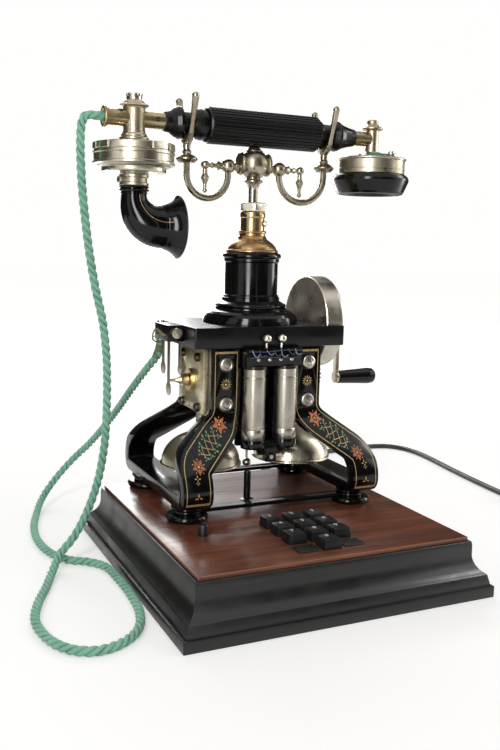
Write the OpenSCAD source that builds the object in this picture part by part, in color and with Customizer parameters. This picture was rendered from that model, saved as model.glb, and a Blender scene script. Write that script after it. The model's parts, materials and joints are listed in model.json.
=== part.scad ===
// Desk telephone on magnet legs: a hand-cranked generator between two horseshoe
// magnets, a forked cradle on a turned column and a push-button plinth below.
// +X is right, +Y is back, +Z is up. The origin is under the middle of the plinth.

/* [Plinth] */
// Width of the wood panel
panel_w = 190; // [180:1:220]
// Depth of the wood panel
panel_d = 199; // [190:1:230]
// Height of the plinth to the top of the wood
plinth_h = 38.5; // [34:0.5:50]
// Height of the panel's edge that shows above the moulding
panel_edge = 2.5; // [1.5:0.1:4]
// Thickness of the panel where it drops between the rails
panel_drop = 3.5; // [2:0.5:6]
// How far the foot of the moulding stands out from the panel
moulding_out = 13.4; // [11:0.1:18]
// Height of the plain band at the foot of the moulding
band_h = 7.5; // [5:0.1:9]
// Radius of the hollow in the moulding
cove_r = 14.6; // [13:0.1:15]
// Thickness of a rail inside the panel's edge
rail_w = 8; // [6:0.5:9]
// Thickness of the bottom cover
cover_t = 2; // [1.5:0.1:4]

/* [Keypad] */
// Distance between two keys, both ways
key_pitch = 16.2; // [15:0.1:18]
// Width of a key
key_w = 12.7; // [10:0.1:13.5]
// Height of a key above the wood
key_rise = 6; // [4:0.1:8]
// Travel of a key
key_travel = 2.5; // [1.5:0.1:3]
// Distance of the keypad's middle from the panel's front edge
keypad_in = 42.2; // [40:0.1:45]
// Diameter of the round recall button
button_d = 6.8; // [5:0.1:9]
// Height of the recall button above the wood
button_rise = 7; // [5:0.1:9]
// Distance of the recall button from the middle, to the left
button_x = 66; // [60:1:75]
// Gap between the recall button and the front foot behind it, along the panel
button_gap = 15.85; // [4:0.05:30]

/* [Feet] */
// Distance of the instrument's middle from the panel's rear edge
phone_in = 55; // [53:0.5:60]
// Distance of each foot from the middle, sideways
foot_x = 64.5; // [60:0.5:72]
// Distance between the front and rear feet
foot_pitch = 89.5; // [80:0.5:96]
// Diameter of a foot
foot_d = 29; // [26:0.5:32]
// Height of a foot under the tie bar
foot_h = 4.7; // [4:0.1:8]
// Thickness of the tie bars
tie_t = 2.5; // [1.5:0.1:4]
// Height of the collar between the tie bar and the magnet
collar_h = 3.3; // [2:0.1:6]
// Diameter of the collar
collar_d = 22; // [18:0.5:25]

/* [Magnets] */
// Width of a magnet bar
bar_w = 21; // [18:0.5:22]
// Thickness of a magnet bar
bar_t = 8; // [6:0.5:9]
// Distance of a magnet leg from the middle, sideways
leg_x = 32.2; // [32:0.1:34]
// Height of the magnets
magnet_h = 105.1; // [103:0.1:112]
// Height above a bar's underside at which its leg starts to lean in
knee_h = 23; // [21:0.5:25]
// Distance from the phone's middle to a leg's outer face, front to back
leg_face_y = 32.5; // [32:0.5:34]
// How far the foot of a leg stands out in front of its top
leg_splay_y = 34; // [30:0.5:38]

/* [Generator] */
// Height from the generator's axis to the plate's underside
generator_drop = 26.6; // [26:0.1:28]
// Diameter of the armature
armature_d = 36.6; // [30:0.2:37]
// Gap between the armature and the pole pieces
air_gap = 0.5; // [0.3:0.1:1]
// Width over the two end plates
frame_w = 92; // [90:0.5:96]
// Thickness of an end plate
end_plate_t = 4.5; // [3:0.1:6]
// Tooth size of the gears, as the module
gear_module = 1; // [1:0.01:1.03]
// Teeth of the crank gear
gear_teeth = 62; // [58:2:62]
// Teeth of the pinion
pinion_teeth = 20; // [20:1:22]
// Diameter of the generator's shafts
shaft_d = 6; // [5:0.1:7]
// Radius of the crank from shaft to handle
crank_r = 44.5; // [40:0.5:50]
// Length of the crank handle
handle_l = 33.4; // [28:0.2:40]
// Diameter of the crank handle at its outer end
handle_d = 12.5; // [10:0.1:15]

/* [Ringer] */
// Distance of each ringer coil from the middle
coil_x = 12.2; // [11:0.1:12.5]
// Diameter of a ringer coil
coil_d = 16.2; // [14:0.1:17]
// Length of a ringer coil
coil_l = 53; // [50:0.5:54]
// Distance of each gong from the middle
gong_x = 37.3; // [37:0.1:40]
// Diameter of a gong
gong_d = 60; // [56:0.5:60]
// Height of a gong
gong_h = 24.5; // [22:0.5:27]
// Wall of a gong
gong_wall = 1.4; // [1:0.1:2]

/* [Table plate and column] */
// Width of the table plate
plate_w = 116.3; // [114:0.1:122]
// Depth of the table plate
plate_d = 77.6; // [76:0.2:84]
// Thickness of the table plate
plate_t = 14.4; // [13:0.1:18]
// Diameter of the column's foot
column_foot_d = 70; // [60:1:76]
// Diameter of the column's body
column_d = 39; // [34:0.5:40]
// Height of the column with its bead
column_h = 51; // [48:0.5:60]

/* [Cradle] */
// Distance from the column to the left fork
fork_left = 51.5; // [48:0.5:54]
// Distance from the column to the right fork
fork_right = 57.5; // [56:0.5:60]
// Spread of a fork's two prong tips from its middle
prong_spread = 16; // [14:0.5:20]
// Height of the prong tips above the fork's base
prong_h = 26; // [22:0.5:30]
// Diameter of the cradle's arms
arm_d = 4.6; // [4:0.1:5]
// How far the cradle rises when the handset is lifted
hook_travel = 4; // [2:0.5:5]

/* [Handset] */
// Height of the handset's axis above the table plate
handset_h = 138; // [138:0.5:142]
// Diameter of the fluted grip
grip_d = 25; // [22:0.5:26]
// Diameter of the necks that lie in the forks
neck_d = 15.6; // [14:0.1:16]
// Diameter of the transmitter's case
transmitter_d = 55.4; // [52:0.2:60]
// Distance of the transmitter from the column
transmitter_x = 89.3; // [88:0.1:96]
// Distance of the receiver from the column
receiver_x = 99.1; // [98:0.1:106]
// Diameter of the receiver's nickel cup
receiver_d = 52; // [48:0.5:56]
// Largest diameter of the ear cap
ear_cap_d = 58.4; // [54:0.2:62]
// Diameter of the horn's mouth
mouth_d = 44.2; // [38:0.2:48]

/* [Cords] */
// Diameter of the handset's cord
handset_cord_d = 6; // [5:0.5:6]
// Diameter of the line cord
line_cord_d = 5; // [4:0.5:5]

/* [Hidden] */
$fn = 48;

// Clearances
run_gap = 0.05;   // a shaft in its bore, all round
slide_gap = 0.35; // a key or button in its opening, all round
eps = 0.01;       // how far a cut runs past a face

// Levels and middles
phone_y = panel_d / 2 - phone_in;
keypad_y = -panel_d / 2 + keypad_in;
cover_top = cover_t;
panel_under = plinth_h - panel_edge - panel_drop;
rail_top = plinth_h - panel_edge;
tie_z = plinth_h + foot_h;
collar_z = tie_z + tie_t;
magnet_z = collar_z + collar_h;
plate_z = magnet_z + magnet_h;
plate_top = plate_z + plate_t;
generator_z = plate_z - generator_drop;
crank_z = generator_z + (gear_teeth + pinion_teeth) / 2 * gear_module;
handset_z = plate_top + handset_h;
front_foot_y = phone_y - foot_pitch / 2;
button_y = front_foot_y - foot_d / 2 - button_gap - button_d / 2;

// ---- plane helpers ----

// Points on an arc about (cx, cy), from angle a0 to a1
function arc(cx, cy, r, a0, a1, n = 8) =
    [for (i = [0 : n]) let (a = a0 + (a1 - a0) * i / n) [cx + r * cos(a), cy + r * sin(a)]];

function unit(v) = v / norm(v);

// The direction of a path at point i
function heading(path, i) =
    unit(path[min(i + 1, len(path) - 1)] - path[max(i - 1, 0)]);

// A plane path moved sideways by d
function side_path(path, d) =
    [for (i = [0 : len(path) - 1]) let (h = heading(path, i)) path[i] + d * [h[1], -h[0]]];

// The outline of a strip of width w along a plane path
function strip(path, w) =
    concat(side_path(path, w / 2), [for (i = [len(path) - 1 : -1 : 0]) side_path(path, -w / 2)[i]]);

// How far a sway of two bends, r1 over r2, reaches up from its knee
function sway_run(out, turn, r1, r2) = (out - (r1 + r2) * (1 - cos(turn))) / sin(turn);
function sway_h(out, turn, r1, r2) = (r1 + r2) * sin(turn) + sway_run(out, turn, r1, r2) * cos(turn);

// A path that drops from (0, top), sways out by `out` and drops past its knee to `low`
function sway(out, top, knee, turn, r1, r2, low) =
    concat([[0, top]],
        arc(r1, knee + sway_h(out, turn, r1, r2), r1, 180, 180 + turn),
        arc(out - r2, knee, r2, turn, 0),
        [[out, low]]);

// ---- sweep along a path in space ----

// Normals carried along a path without twist
function carried(path, start) =
    [for (i = 0, n = unit(start - (start * heading(path, 0)) * heading(path, 0));
        i < len(path);
        i = i + 1, n = i < len(path)
            ? unit(n - (n * heading(path, i)) * heading(path, i)) : n) n];

// A round bar whose radius follows `radii` along `path`
module sweep(path, radii, sides, start) {
    last = len(path) - 1;
    normals = carried(path, start);
    points = [for (i = [0 : last]) let (n = normals[i], b = cross(heading(path, i), n))
        for (k = [0 : sides - 1])
            path[i] + radii[i] * (cos(360 * k / sides) * n + sin(360 * k / sides) * b)];
    walls = [for (i = [0 : last - 1]) for (k = [0 : sides - 1]) let (m = (k + 1) % sides)
        [i * sides + k, (i + 1) * sides + k, (i + 1) * sides + m, i * sides + m]];
    ends = [[for (k = [0 : sides - 1]) k],
        [for (k = [sides - 1 : -1 : 0]) last * sides + k]];
    polyhedron(points, concat(walls, ends), convexity = 10);
}

module tube(path, d, sides = 8, start = [0, 0, 1]) {
    sweep(path, [for (p = path) d / 2], sides, start);
}

// ---- placing helpers ----

module mirrored(axis) {
    children();
    mirror(axis) children();
}

// Front and rear copies about the phone's middle
module front_and_rear() {
    translate([0, phone_y, 0]) mirrored([0, 1, 0]) translate([0, -phone_y, 0]) children();
}

module at_corners(x, y) {
    for (sx = [-1, 1], sy = [-1, 1]) translate([sx * x, sy * y, 0]) children();
}

// A cylinder along +X from x0 to x1
module rod_x(x0, x1, r) {
    translate([x0, 0, 0]) rotate([0, 90, 0]) cylinder(r = r, h = x1 - x0);
}

// A cylinder along +Y from y0 to y1
module rod_y(y0, y1, r) {
    translate([0, y0, 0]) rotate([-90, 0, 0]) cylinder(r = r, h = y1 - y0);
}

// A solid turned about the X axis from a list of [x, radius]
module turned_x(profile) {
    rotate([0, 90, 0]) rotate_extrude()
        polygon(concat([[0, profile[0][0]]], [for (p = profile) [p[1], p[0]]],
            [[0, profile[len(profile) - 1][0]]]));
}

// A solid turned about the Z axis from a list of [radius, z]
module turned_z(profile) {
    rotate_extrude()
        polygon(concat([[0, profile[0][1]]], profile, [[0, profile[len(profile) - 1][1]]]));
}

module box(low, high) {
    translate(low) cube(high - low);
}

module round_plate(w, d, t, r) {
    linear_extrude(t) union() {
        square([w - 2 * r, d], center = true);
        square([w, d - 2 * r], center = true);
        for (sx = [-1, 1], sy = [-1, 1])
            translate([sx * (w / 2 - r), sy * (d / 2 - r)]) circle(r);
    }
}

// ---- plinth ----

step_in = 2.1;     // from the band back to the step
step_h = 1.8;      // height of the step above the band
cove_top_in = 2.4; // how far the hollow's top stands out from the panel
lip_h = 3.5;       // height of the rounded lip under the panel
mitre_gap = 0.1;   // between two rails at a corner

// Section of the moulding: x is out from the panel's edge
module rail_section() {
    cove_x = cove_top_in + cove_r;
    cove_z = rail_top - lip_h - 5.1;
    start_x = moulding_out - step_in - 1.4;
    start_a = 180 + acos((cove_x - start_x) / cove_r);
    lip_x = cove_top_in - 1.4;
    polygon(concat(
        [[-rail_w, 0], [moulding_out, 0], [moulding_out, band_h],
            [moulding_out - step_in, band_h], [moulding_out - step_in, band_h + step_h]],
        arc(cove_x, cove_z, cove_r, start_a, 180, 10),
        [[cove_top_in, rail_top - lip_h]],
        arc(lip_x, rail_top - 1.4, 1.4, 45, 90, 3),
        [[-rail_w, rail_top]]));
}

// One rail along +X at the front, cut to its mitres
module rail(length, depth) {
    reach = length / 2 + moulding_out;
    intersection() {
        translate([-reach, -depth / 2, 0]) rotate([90, 0, 90])
            linear_extrude(2 * reach) mirror([1, 0]) rail_section();
        translate([0, -depth / 2, -eps]) linear_extrude(plinth_h)
            polygon([[-length / 2 - 2 * moulding_out + mitre_gap, -2 * moulding_out],
                [length / 2 + 2 * moulding_out - mitre_gap, -2 * moulding_out],
                [length / 2 - rail_w - mitre_gap, rail_w + eps],
                [-length / 2 + rail_w + mitre_gap, rail_w + eps]]);
    }
}

module plinth_rails() color("#141312") {
    rail(panel_w, panel_d);
    rotate([0, 0, 180]) difference() {
        rail(panel_w, panel_d);
        translate([-line_x, 0, line_z]) rod_y(-panel_d, 0, relief_neck_d / 2 + 0.1);
    }
    for (a = [90, 270]) rotate([0, 0, a]) rail(panel_d, panel_w);
}

key_hole_w = key_w + 2 * slide_gap;

module top_panel() color("#6b2f1c") difference() {
    union() {
        box([-panel_w / 2, -panel_d / 2, rail_top], [panel_w / 2, panel_d / 2, plinth_h]);
        box([-panel_w / 2 + rail_w + 0.3, -panel_d / 2 + rail_w + 0.3, panel_under],
            [panel_w / 2 - rail_w - 0.3, panel_d / 2 - rail_w - 0.3, rail_top]);
    }
    for (p = KEYS) translate([p[0], p[1], panel_under - 1])
        translate([-key_hole_w / 2, -key_hole_w / 2, 0]) cube([key_hole_w, key_hole_w, plinth_h]);
    translate([-button_x, button_y, panel_under - 1])
        cylinder(d = button_d + 2 * slide_gap, h = plinth_h);
}

cover_screw_x = panel_w / 2 - 24;
cover_screw_y = panel_d / 2 - 24;
screw_boss_d = 9;
screw_d = 3.4;
screw_head_d = 6.4;
screw_head_h = 1.2;

module bottom_cover() color("#1b1b1b") difference() {
    union() {
        box([-panel_w / 2 + rail_w + 0.4, -panel_d / 2 + rail_w + 0.4, 0],
            [panel_w / 2 - rail_w - 0.4, panel_d / 2 - rail_w - 0.4, cover_t]);
        at_corners(cover_screw_x, cover_screw_y)
            translate([0, 0, cover_top - eps]) cylinder(d = screw_boss_d, h = panel_under - cover_top + eps);
    }
    at_corners(cover_screw_x, cover_screw_y) {
        translate([0, 0, -1]) cylinder(d = screw_head_d + 0.2, h = 1 + screw_head_h);
        translate([0, 0, screw_head_h - eps]) cylinder(d = screw_d + 0.1, h = 16);
    }
}

module cover_screws() color("#8d8a80") at_corners(cover_screw_x, cover_screw_y) difference() {
    union() {
        translate([0, 0, 0.1]) cylinder(d = screw_head_d, h = screw_head_h - 0.1);
        translate([0, 0, screw_head_h - eps]) cylinder(d = screw_d, h = 15);
    }
    box([-screw_head_d, -0.4, -1], [screw_head_d, 0.4, 0.7]);
}

// ---- keypad ----

// Middle of each digit key: 1 to 9 in three rows, 0 below the 8
function key_place(n) =
    n == 0 ? [0, keypad_y - 1.5 * key_pitch]
           : [((n - 1) % 3 - 1) * key_pitch, keypad_y + (1.5 - floor((n - 1) / 3)) * key_pitch];
KEYS = [for (n = [0 : 9]) key_place(n)];

key_skirt = 4;       // how far a key reaches below the wood's surface
key_taper = 0.6;     // how much narrower a key's top is, on each side
key_stem_d = 5;
key_stem_l = 6;
switch_w = 12;
switch_h = 7;
board_t = 1.6;
board_margin = 2;    // past the switches, front and rear
board_side = 7;      // past the switches, left and right
switch_top = plinth_h - key_skirt - key_travel - slide_gap;
board_z = switch_top - switch_h - board_t;

// A square block whose sides lean in towards its top
module tapered_block(w, top_w, h) {
    side = [[-w / 2, 0], [w / 2, 0], [top_w / 2, h], [-top_w / 2, h]];
    intersection() {
        translate([0, w / 2, 0]) rotate([90, 0, 0]) linear_extrude(w) polygon(side);
        translate([-w / 2, 0, 0]) rotate([90, 0, 90]) linear_extrude(w) polygon(side);
    }
}

// A key: a tapered cap on a square skirt, with a round stem below
module key_cap(n) color("#15161a") translate([KEYS[n][0], KEYS[n][1], plinth_h]) {
    tapered_block(key_w, key_w - 2 * key_taper, key_rise);
    translate([-key_w / 2, -key_w / 2, -key_skirt]) cube([key_w, key_w, key_skirt]);
    translate([0, 0, -key_skirt - key_stem_l]) cylinder(d = key_stem_d, h = key_stem_l + eps);
}

module keypad_board() color("#2c4a35") {
    board_w = 2 * key_pitch + switch_w + 2 * board_side;
    board_d = 3 * key_pitch + switch_w + 2 * board_margin;
    difference() {
        union() {
            translate([-board_w / 2, keypad_y - board_d / 2, board_z]) cube([board_w, board_d, board_t]);
            for (p = KEYS) translate([p[0] - switch_w / 2, p[1] - switch_w / 2, board_z + board_t - eps])
                cube([switch_w, switch_w, switch_h + eps]);
            translate([0, keypad_y, board_z])
                at_corners(board_w / 2 - 2.7, board_d / 2 - 2.7) cylinder(d = 5, h = panel_under - board_z);
            translate([-button_x, button_y, switch_low]) difference() {
                cylinder(d = button_d + 5, h = panel_under - switch_low);
                translate([0, 0, 1.5]) cylinder(d = button_d + 2 * slide_gap, h = plinth_h);
            }
        }
        for (p = KEYS) translate([p[0], p[1], switch_top - key_stem_l - key_travel])
            cylinder(d = key_stem_d + 2 * slide_gap, h = plinth_h);
    }
}

module blank_keys() color("#15161a") for (sx = [-1, 1])
    translate([sx * key_pitch, keypad_y - 1.5 * key_pitch, plinth_h]) hull() {
        translate([-7.6, -5.8, 0]) cube([15.2, 11.6, 0.5]);
        translate([-7.2, -5.4, 0]) cube([14.4, 10.8, 0.9]);
    }

button_depth = 8;  // how far the recall button reaches below the wood
switch_low = plinth_h - button_depth - key_travel - 2;

module recall_button() color("#101114") translate([-button_x, button_y, plinth_h]) rotate_extrude()
    polygon(concat([[0, -button_depth], [button_d / 2, -button_depth]],
        arc(button_d / 2 - 0.8, button_rise - 0.8, 0.8, 0, 90, 4), [[0, button_rise]]));

// ---- feet and tie bars ----

stud_d = 5;
stud_in = 5; // how far a stud reaches into the magnet

module at_feet() {
    for (sx = [-1, 1]) front_and_rear() translate([sx * foot_x, front_foot_y, 0]) children();
}

// Four turned feet with their studs, and the collars between tie bar and magnet
module feet() color("#0e0e0f") at_feet() {
    translate([0, 0, plinth_h]) rotate_extrude() polygon(concat(
        [[0, 0], [foot_d / 2 - 2.2, 0]],
        arc(foot_d / 2 - foot_h / 2, foot_h / 2, foot_h / 2, -70, 80, 8),
        [[collar_d / 2 - 1, foot_h], [0, foot_h]]));
    translate([0, 0, tie_z - eps]) cylinder(d = stud_d, h = tie_t + collar_h + stud_in + eps);
    translate([0, 0, collar_z]) difference() {
        rotate_extrude() polygon(concat([[0, 0], [collar_d / 2 - 1, 0]],
            arc(collar_d / 2 - collar_h / 2, collar_h / 2, collar_h / 2, -60, 60, 6),
            [[collar_d / 2 - 1, collar_h], [0, collar_h]]));
        translate([0, 0, -1]) cylinder(d = stud_d + 2 * run_gap, h = collar_h + 2);
    }
}

tie_w = 9;

module tie_bars() color("#0e0e0f") front_and_rear() translate([0, front_foot_y, tie_z]) difference() {
    linear_extrude(tie_t) union() {
        square([2 * foot_x, tie_w], center = true);
        for (sx = [-1, 1]) translate([sx * foot_x, 0]) circle(d = collar_d - 3);
    }
    for (sx = [-1, 1]) translate([sx * foot_x, 0, -1])
        cylinder(d = stud_d + 2 * run_gap, h = tie_t + 2);
}

// ---- magnets ----

bolt_d = 5.8;
nut_d = 11;
nut_h = 3.4;
leg_front = phone_y - leg_face_y;
pole_front = leg_front + bar_t;
front_turn = 52;  // how far the bars lean out sideways
front_bends = [18, 12];
side_turn = 45;   // how far the legs lean out to the front
side_bends = [16, 18];
heel_r = 6;       // radius of the lower bend at the bar's middle
heel_z = magnet_z + bar_t / 2 + heel_r;
knee_z = magnet_z + knee_h;
shoulder_z = knee_z + sway_h(foot_x - leg_x, front_turn, front_bends[0], front_bends[1]);
nut_levels = [shoulder_z + 2, plate_z - 12];

// Middle line of a bar, seen from the front
front_line = [for (p = sway(foot_x - leg_x, plate_z, knee_z, front_turn,
    front_bends[0], front_bends[1], magnet_z - 1)) p + [leg_x, 0]];

// Middle line of the bar, seen from the side: down the front leg, under and up the rear leg
front_half = let (y = leg_front + bar_t / 2,
        leg = sway(leg_splay_y, plate_z, heel_z + 1, side_turn, side_bends[0], side_bends[1], heel_z))
    concat([for (p = leg) [y - p[0], p[1]]],
        arc(y - leg_splay_y + heel_r, heel_z, heel_r, 198, 270, 4));
side_line = concat(front_half,
    [for (i = [len(front_half) - 1 : -1 : 0]) [2 * phone_y - front_half[i][0], front_half[i][1]]]);

module magnet() {
    difference() {
        intersection() {
            translate([0, 2 * foot_pitch, 0]) rotate([90, 0, 0])
                linear_extrude(3 * foot_pitch) polygon(strip(front_line, bar_w));
            rotate([90, 0, 90]) linear_extrude(foot_x + bar_w) polygon(strip(side_line, bar_t));
        }
        front_and_rear() {
            for (z = nut_levels) translate([leg_x, 0, z])
                rod_y(leg_front - 1, pole_front + 1, bolt_d / 2 + run_gap);
            translate([foot_x, front_foot_y, magnet_z - 1])
                cylinder(d = stud_d + 2 * run_gap, h = stud_in + 1.5);
        }
    }
}

module right_magnet() color("#121110") magnet();
module left_magnet() color("#121110") mirror([1, 0, 0]) magnet();

module magnet_nuts() color("#b9b4a6") mirrored([1, 0, 0]) front_and_rear()
    for (z = nut_levels) translate([leg_x, 0, z]) {
        rod_y(leg_front - 2.4, leg_front, nut_d / 2);
        rod_y(leg_front - nut_h, leg_front - 2.4 + eps, 2.8);
        rod_y(leg_front - eps, pole_front + 6, bolt_d / 2);
    }

// ---- generator ----

bearing_d = 10;
flange_d = 16;
flange_t = 2.4;
plate_inner = frame_w / 2 - end_plate_t;
pole_h = 43;
pole_slot = 9;
plate_low = generator_z - pole_h / 2;
plate_high = generator_z + 24.5;
plate_screw_y = 15;
plate_screw_z = 18;
nose_tip = -plate_w / 2 - 4.45; // where the armature meets its contact spring
pinion_x = frame_w / 2 + 3;
pinion_l = 7;

module generator_axis() {
    translate([0, phone_y, generator_z]) children();
}

module crank_axis() {
    translate([0, phone_y, crank_z]) children();
}

module pole_pieces() color("#17171a") difference() {
    front_and_rear() box([-plate_inner, pole_front, generator_z - pole_h / 2],
        [plate_inner, phone_y - pole_slot / 2, generator_z + pole_h / 2]);
    generator_axis() rod_x(-plate_inner - 1, plate_inner + 1, armature_d / 2 + air_gap);
    front_and_rear() for (sx = [-1, 1], z = nut_levels) translate([sx * leg_x, 0, z])
        rod_y(pole_front - 1, pole_front + 7, bolt_d / 2 + run_gap);
}

// Two end plates with their screws; the gear cover lies over the right one's upper half
module end_plates() color("#c9c0a4") {
    mirrored([1, 0, 0]) difference() {
        box([plate_inner, pole_front, plate_low],
            [frame_w / 2, 2 * phone_y - pole_front, plate_high]);
        generator_axis() rod_x(0, frame_w, bearing_d / 2 + run_gap);
    }
    generator_axis() for (sy = [-1, 1]) {
        for (sz = [-1, 1]) mirror([1, 0, 0])
            translate([0, sy * plate_screw_y, sz * plate_screw_z]) slotted_head();
        translate([0, sy * plate_screw_y, -plate_screw_z]) slotted_head();
    }
}

module slotted_head() {
    difference() {
        rod_x(frame_w / 2 - eps, frame_w / 2 + 1.6, 2.6);
        box([frame_w / 2 + 0.9, -0.45, -4], [frame_w / 2 + 3, 0.45, 4]);
    }
}

module bearings() color("#a8893f") mirrored([1, 0, 0]) generator_axis() difference() {
    union() {
        rod_x(plate_inner + 0.2, frame_w / 2, bearing_d / 2);
        rod_x(frame_w / 2, frame_w / 2 + flange_t, flange_d / 2);
    }
    rod_x(0, frame_w, shaft_d / 2 + run_gap);
}

core_half = plate_inner - 1.5;
neck_w = 12; // width of the core between the two windings

// Shuttle core, shaft, contact nose at the left and pinion at the right
module armature() color("#8f8a80") generator_axis() {
    difference() {
        rod_x(-core_half, core_half, armature_d / 2);
        for (sz = [-1, 1]) translate([0, 0, sz * armature_d / 2])
            box([-core_half - 1, -armature_d / 2 + 5, -armature_d / 2 + neck_w / 2],
                [core_half + 1, armature_d / 2 - 5, armature_d / 2 - neck_w / 2]);
    }
    turned_x([[nose_tip, 0.9], [nose_tip + 4.6, 1.2], [-frame_w / 2 - 8, 3],
        [-frame_w / 2 - 7, 4.6], [-frame_w / 2 - 3, 4.6], [-frame_w / 2 - 3, shaft_d / 2],
        [-core_half + 1, shaft_d / 2]]);
    rod_x(core_half - 1, pinion_x + pinion_l + 2, shaft_d / 2);
    translate([pinion_x, 0, 0]) gear_x(pinion_teeth, pinion_l, 90 + 180 / pinion_teeth);
}

module armature_winding() color("#7a3b22") generator_axis() intersection() {
    rod_x(-core_half + 1, core_half - 1, armature_d / 2 - 1);
    for (sz = [-1, 1]) translate([0, 0, sz * armature_d / 2])
        box([-core_half, -armature_d / 2 + 5.2, -armature_d / 2 + neck_w / 2 + 0.1],
            [core_half, armature_d / 2 - 5.2, armature_d / 2 - neck_w / 2 - 0.1]);
}

// Half the width of an involute tooth at radius r, in degrees
pressure = 20;
backlash = 0.06; // share of a tooth's width
function involute(a) = tan(a) * 180 / PI - a;
function half_tooth(r, teeth) =
    let (base = gear_module * teeth / 2 * cos(pressure))
    90 / teeth * (1 - backlash) + involute(pressure) - involute(acos(min(1, base / r)));

function tooth_points(teeth, a) =
    let (r = gear_module * teeth / 2,
         radii = [r - 1.25 * gear_module, r - 0.5 * gear_module, r, r + 0.55 * gear_module,
             r + 0.95 * gear_module])
    concat([for (q = radii) let (h = a - half_tooth(q, teeth)) [q * cos(h), q * sin(h)]],
        [for (i = [4 : -1 : 0]) let (q = radii[i], h = a + half_tooth(q, teeth))
            [q * cos(h), q * sin(h)]]);

// A spur gear along +X, with the middle of a tooth at angle `first` in the YZ plane
module gear_x(teeth, length, first) {
    rotate([90, 0, 90]) linear_extrude(length)
        polygon([for (i = [0 : teeth - 1]) each tooth_points(teeth, first + 360 * i / teeth)]);
}

cover_gap = 0.8;
gear_outer = gear_module * (gear_teeth / 2 + 1);
drum_r = gear_outer + cover_gap + 1.2;
drum_l = 15.5;
drum_wall = 1.2;
drum_x = frame_w / 2;
boss_d = 12;
gear_x0 = pinion_x + 0.5;
gear_l = 6;
arm_x = drum_x + 28.2;
arm_t = 2.2;
arm_w = 5.5;

// Crank gear with five round lightening holes, and its shaft
module crank_gear() color("#b59a52") crank_axis() {
    difference() {
        translate([gear_x0, 0, 0]) gear_x(gear_teeth, gear_l, -90);
        for (a = [18 : 72 : 360]) rotate([a, 0, 0]) translate([0, 0, gear_outer * 0.6])
            rod_x(0, frame_w, gear_outer * 0.2);
    }
    rod_x(gear_x0 + gear_l - eps, drum_x + drum_l - drum_wall - 2.3, boss_d / 2);
    rod_x(drum_x, arm_x + arm_t + 1.6, shaft_d / 2);
}

module gear_cover() color("#b8b09a") crank_axis() difference() {
    union() {
        rotate([90, 0, 90]) translate([0, 0, drum_x]) rotate_extrude() polygon(concat(
            [[0, 0]], arc(drum_r - 1.5, 1.5, 1.5, -90, 0, 4),
            arc(drum_r - 2.5, drum_l - 2.5, 2.5, 0, 90, 5), [[0, drum_l],
            [0, drum_l - drum_wall], [drum_r - drum_wall, drum_l - drum_wall],
            [drum_r - drum_wall, drum_wall], [0, drum_wall]]));
        rod_x(drum_x, gear_x0 - 0.4, boss_d / 2);
        rod_x(drum_x + drum_l - drum_wall - 2, drum_x + drum_l + 3, boss_d / 2);
    }
    rod_x(0, frame_w, shaft_d / 2 + run_gap);
    box([drum_x - 1, -pinion_teeth / 2, -drum_r - 1],
        [pinion_x + pinion_l + 3, pinion_teeth / 2, -gear_outer + 4]);
}

module crank_arm() color("#c3bfb2") crank_axis() {
    difference() {
        union() {
            rod_x(arm_x, arm_x + arm_t, 5.5);
            box([arm_x, -arm_w / 2, -crank_r], [arm_x + arm_t, arm_w / 2, 0]);
            translate([0, 0, -crank_r]) rod_x(arm_x, arm_x + arm_t, 4.5);
        }
        rod_x(0, 2 * frame_w, shaft_d / 2 + run_gap);
    }
    difference() {
        rod_x(arm_x + arm_t, arm_x + arm_t + 1.5, 5);
        rod_x(0, 2 * frame_w, shaft_d / 2 + run_gap);
    }
    translate([0, 0, -crank_r]) rod_x(arm_x + arm_t - eps, arm_x + arm_t + handle_l - 6, 2);
}

module crank_handle() color("#101012") crank_axis() translate([0, 0, -crank_r]) difference() {
    x0 = arm_x + arm_t + 0.2;
    x1 = x0 + handle_l;
    turned_x([[x0, 4.4], [x0 + 0.5, 4.9], [x0 + handle_l * 0.5, handle_d / 2 - 0.6],
        [x1 - 6, handle_d / 2], [x1 - 2.2, handle_d / 2 - 0.4], [x1 - 0.6, handle_d / 2 - 1.6],
        [x1, handle_d / 2 - 3.6]]);
    rod_x(x0 - 1, x1 - 5, 2 + run_gap);
}

// ---- ringer ----

coil_y = leg_front - 4;
coil_top = plate_z - 12.6;
coil_low = coil_top - coil_l;
pivot_z = coil_low - 12.5;
ball_z = pivot_z - 13.8;
ball_d = 6.5;
core_d = 7;
frame_x = leg_x - bar_w / 2 - 0.3;

module ringer_coils() color("#c2bcab") for (sx = [-1, 1]) translate([sx * coil_x, coil_y, 0]) {
    difference() {
        turned_z([[coil_d / 2 + 0.2, coil_low], [coil_d / 2 + 0.2, coil_low + 8],
            [coil_d / 2, coil_low + 8], [coil_d / 2, coil_top - 9], [coil_d / 2 + 0.2, coil_top - 9],
            [coil_d / 2 + 0.2, coil_top - 7.4], [coil_d / 2 - 0.2, coil_top - 7.4],
            [coil_d / 2 - 0.2, coil_top]]);
        translate([0, 0, coil_low - 1]) cylinder(d = core_d + 2 * run_gap, h = coil_l + 2);
    }
}

module ringer_block() color("#1c222c")
    box([-frame_x, coil_y - 7, coil_top], [frame_x, coil_y + 8.3, plate_z]);

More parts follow.
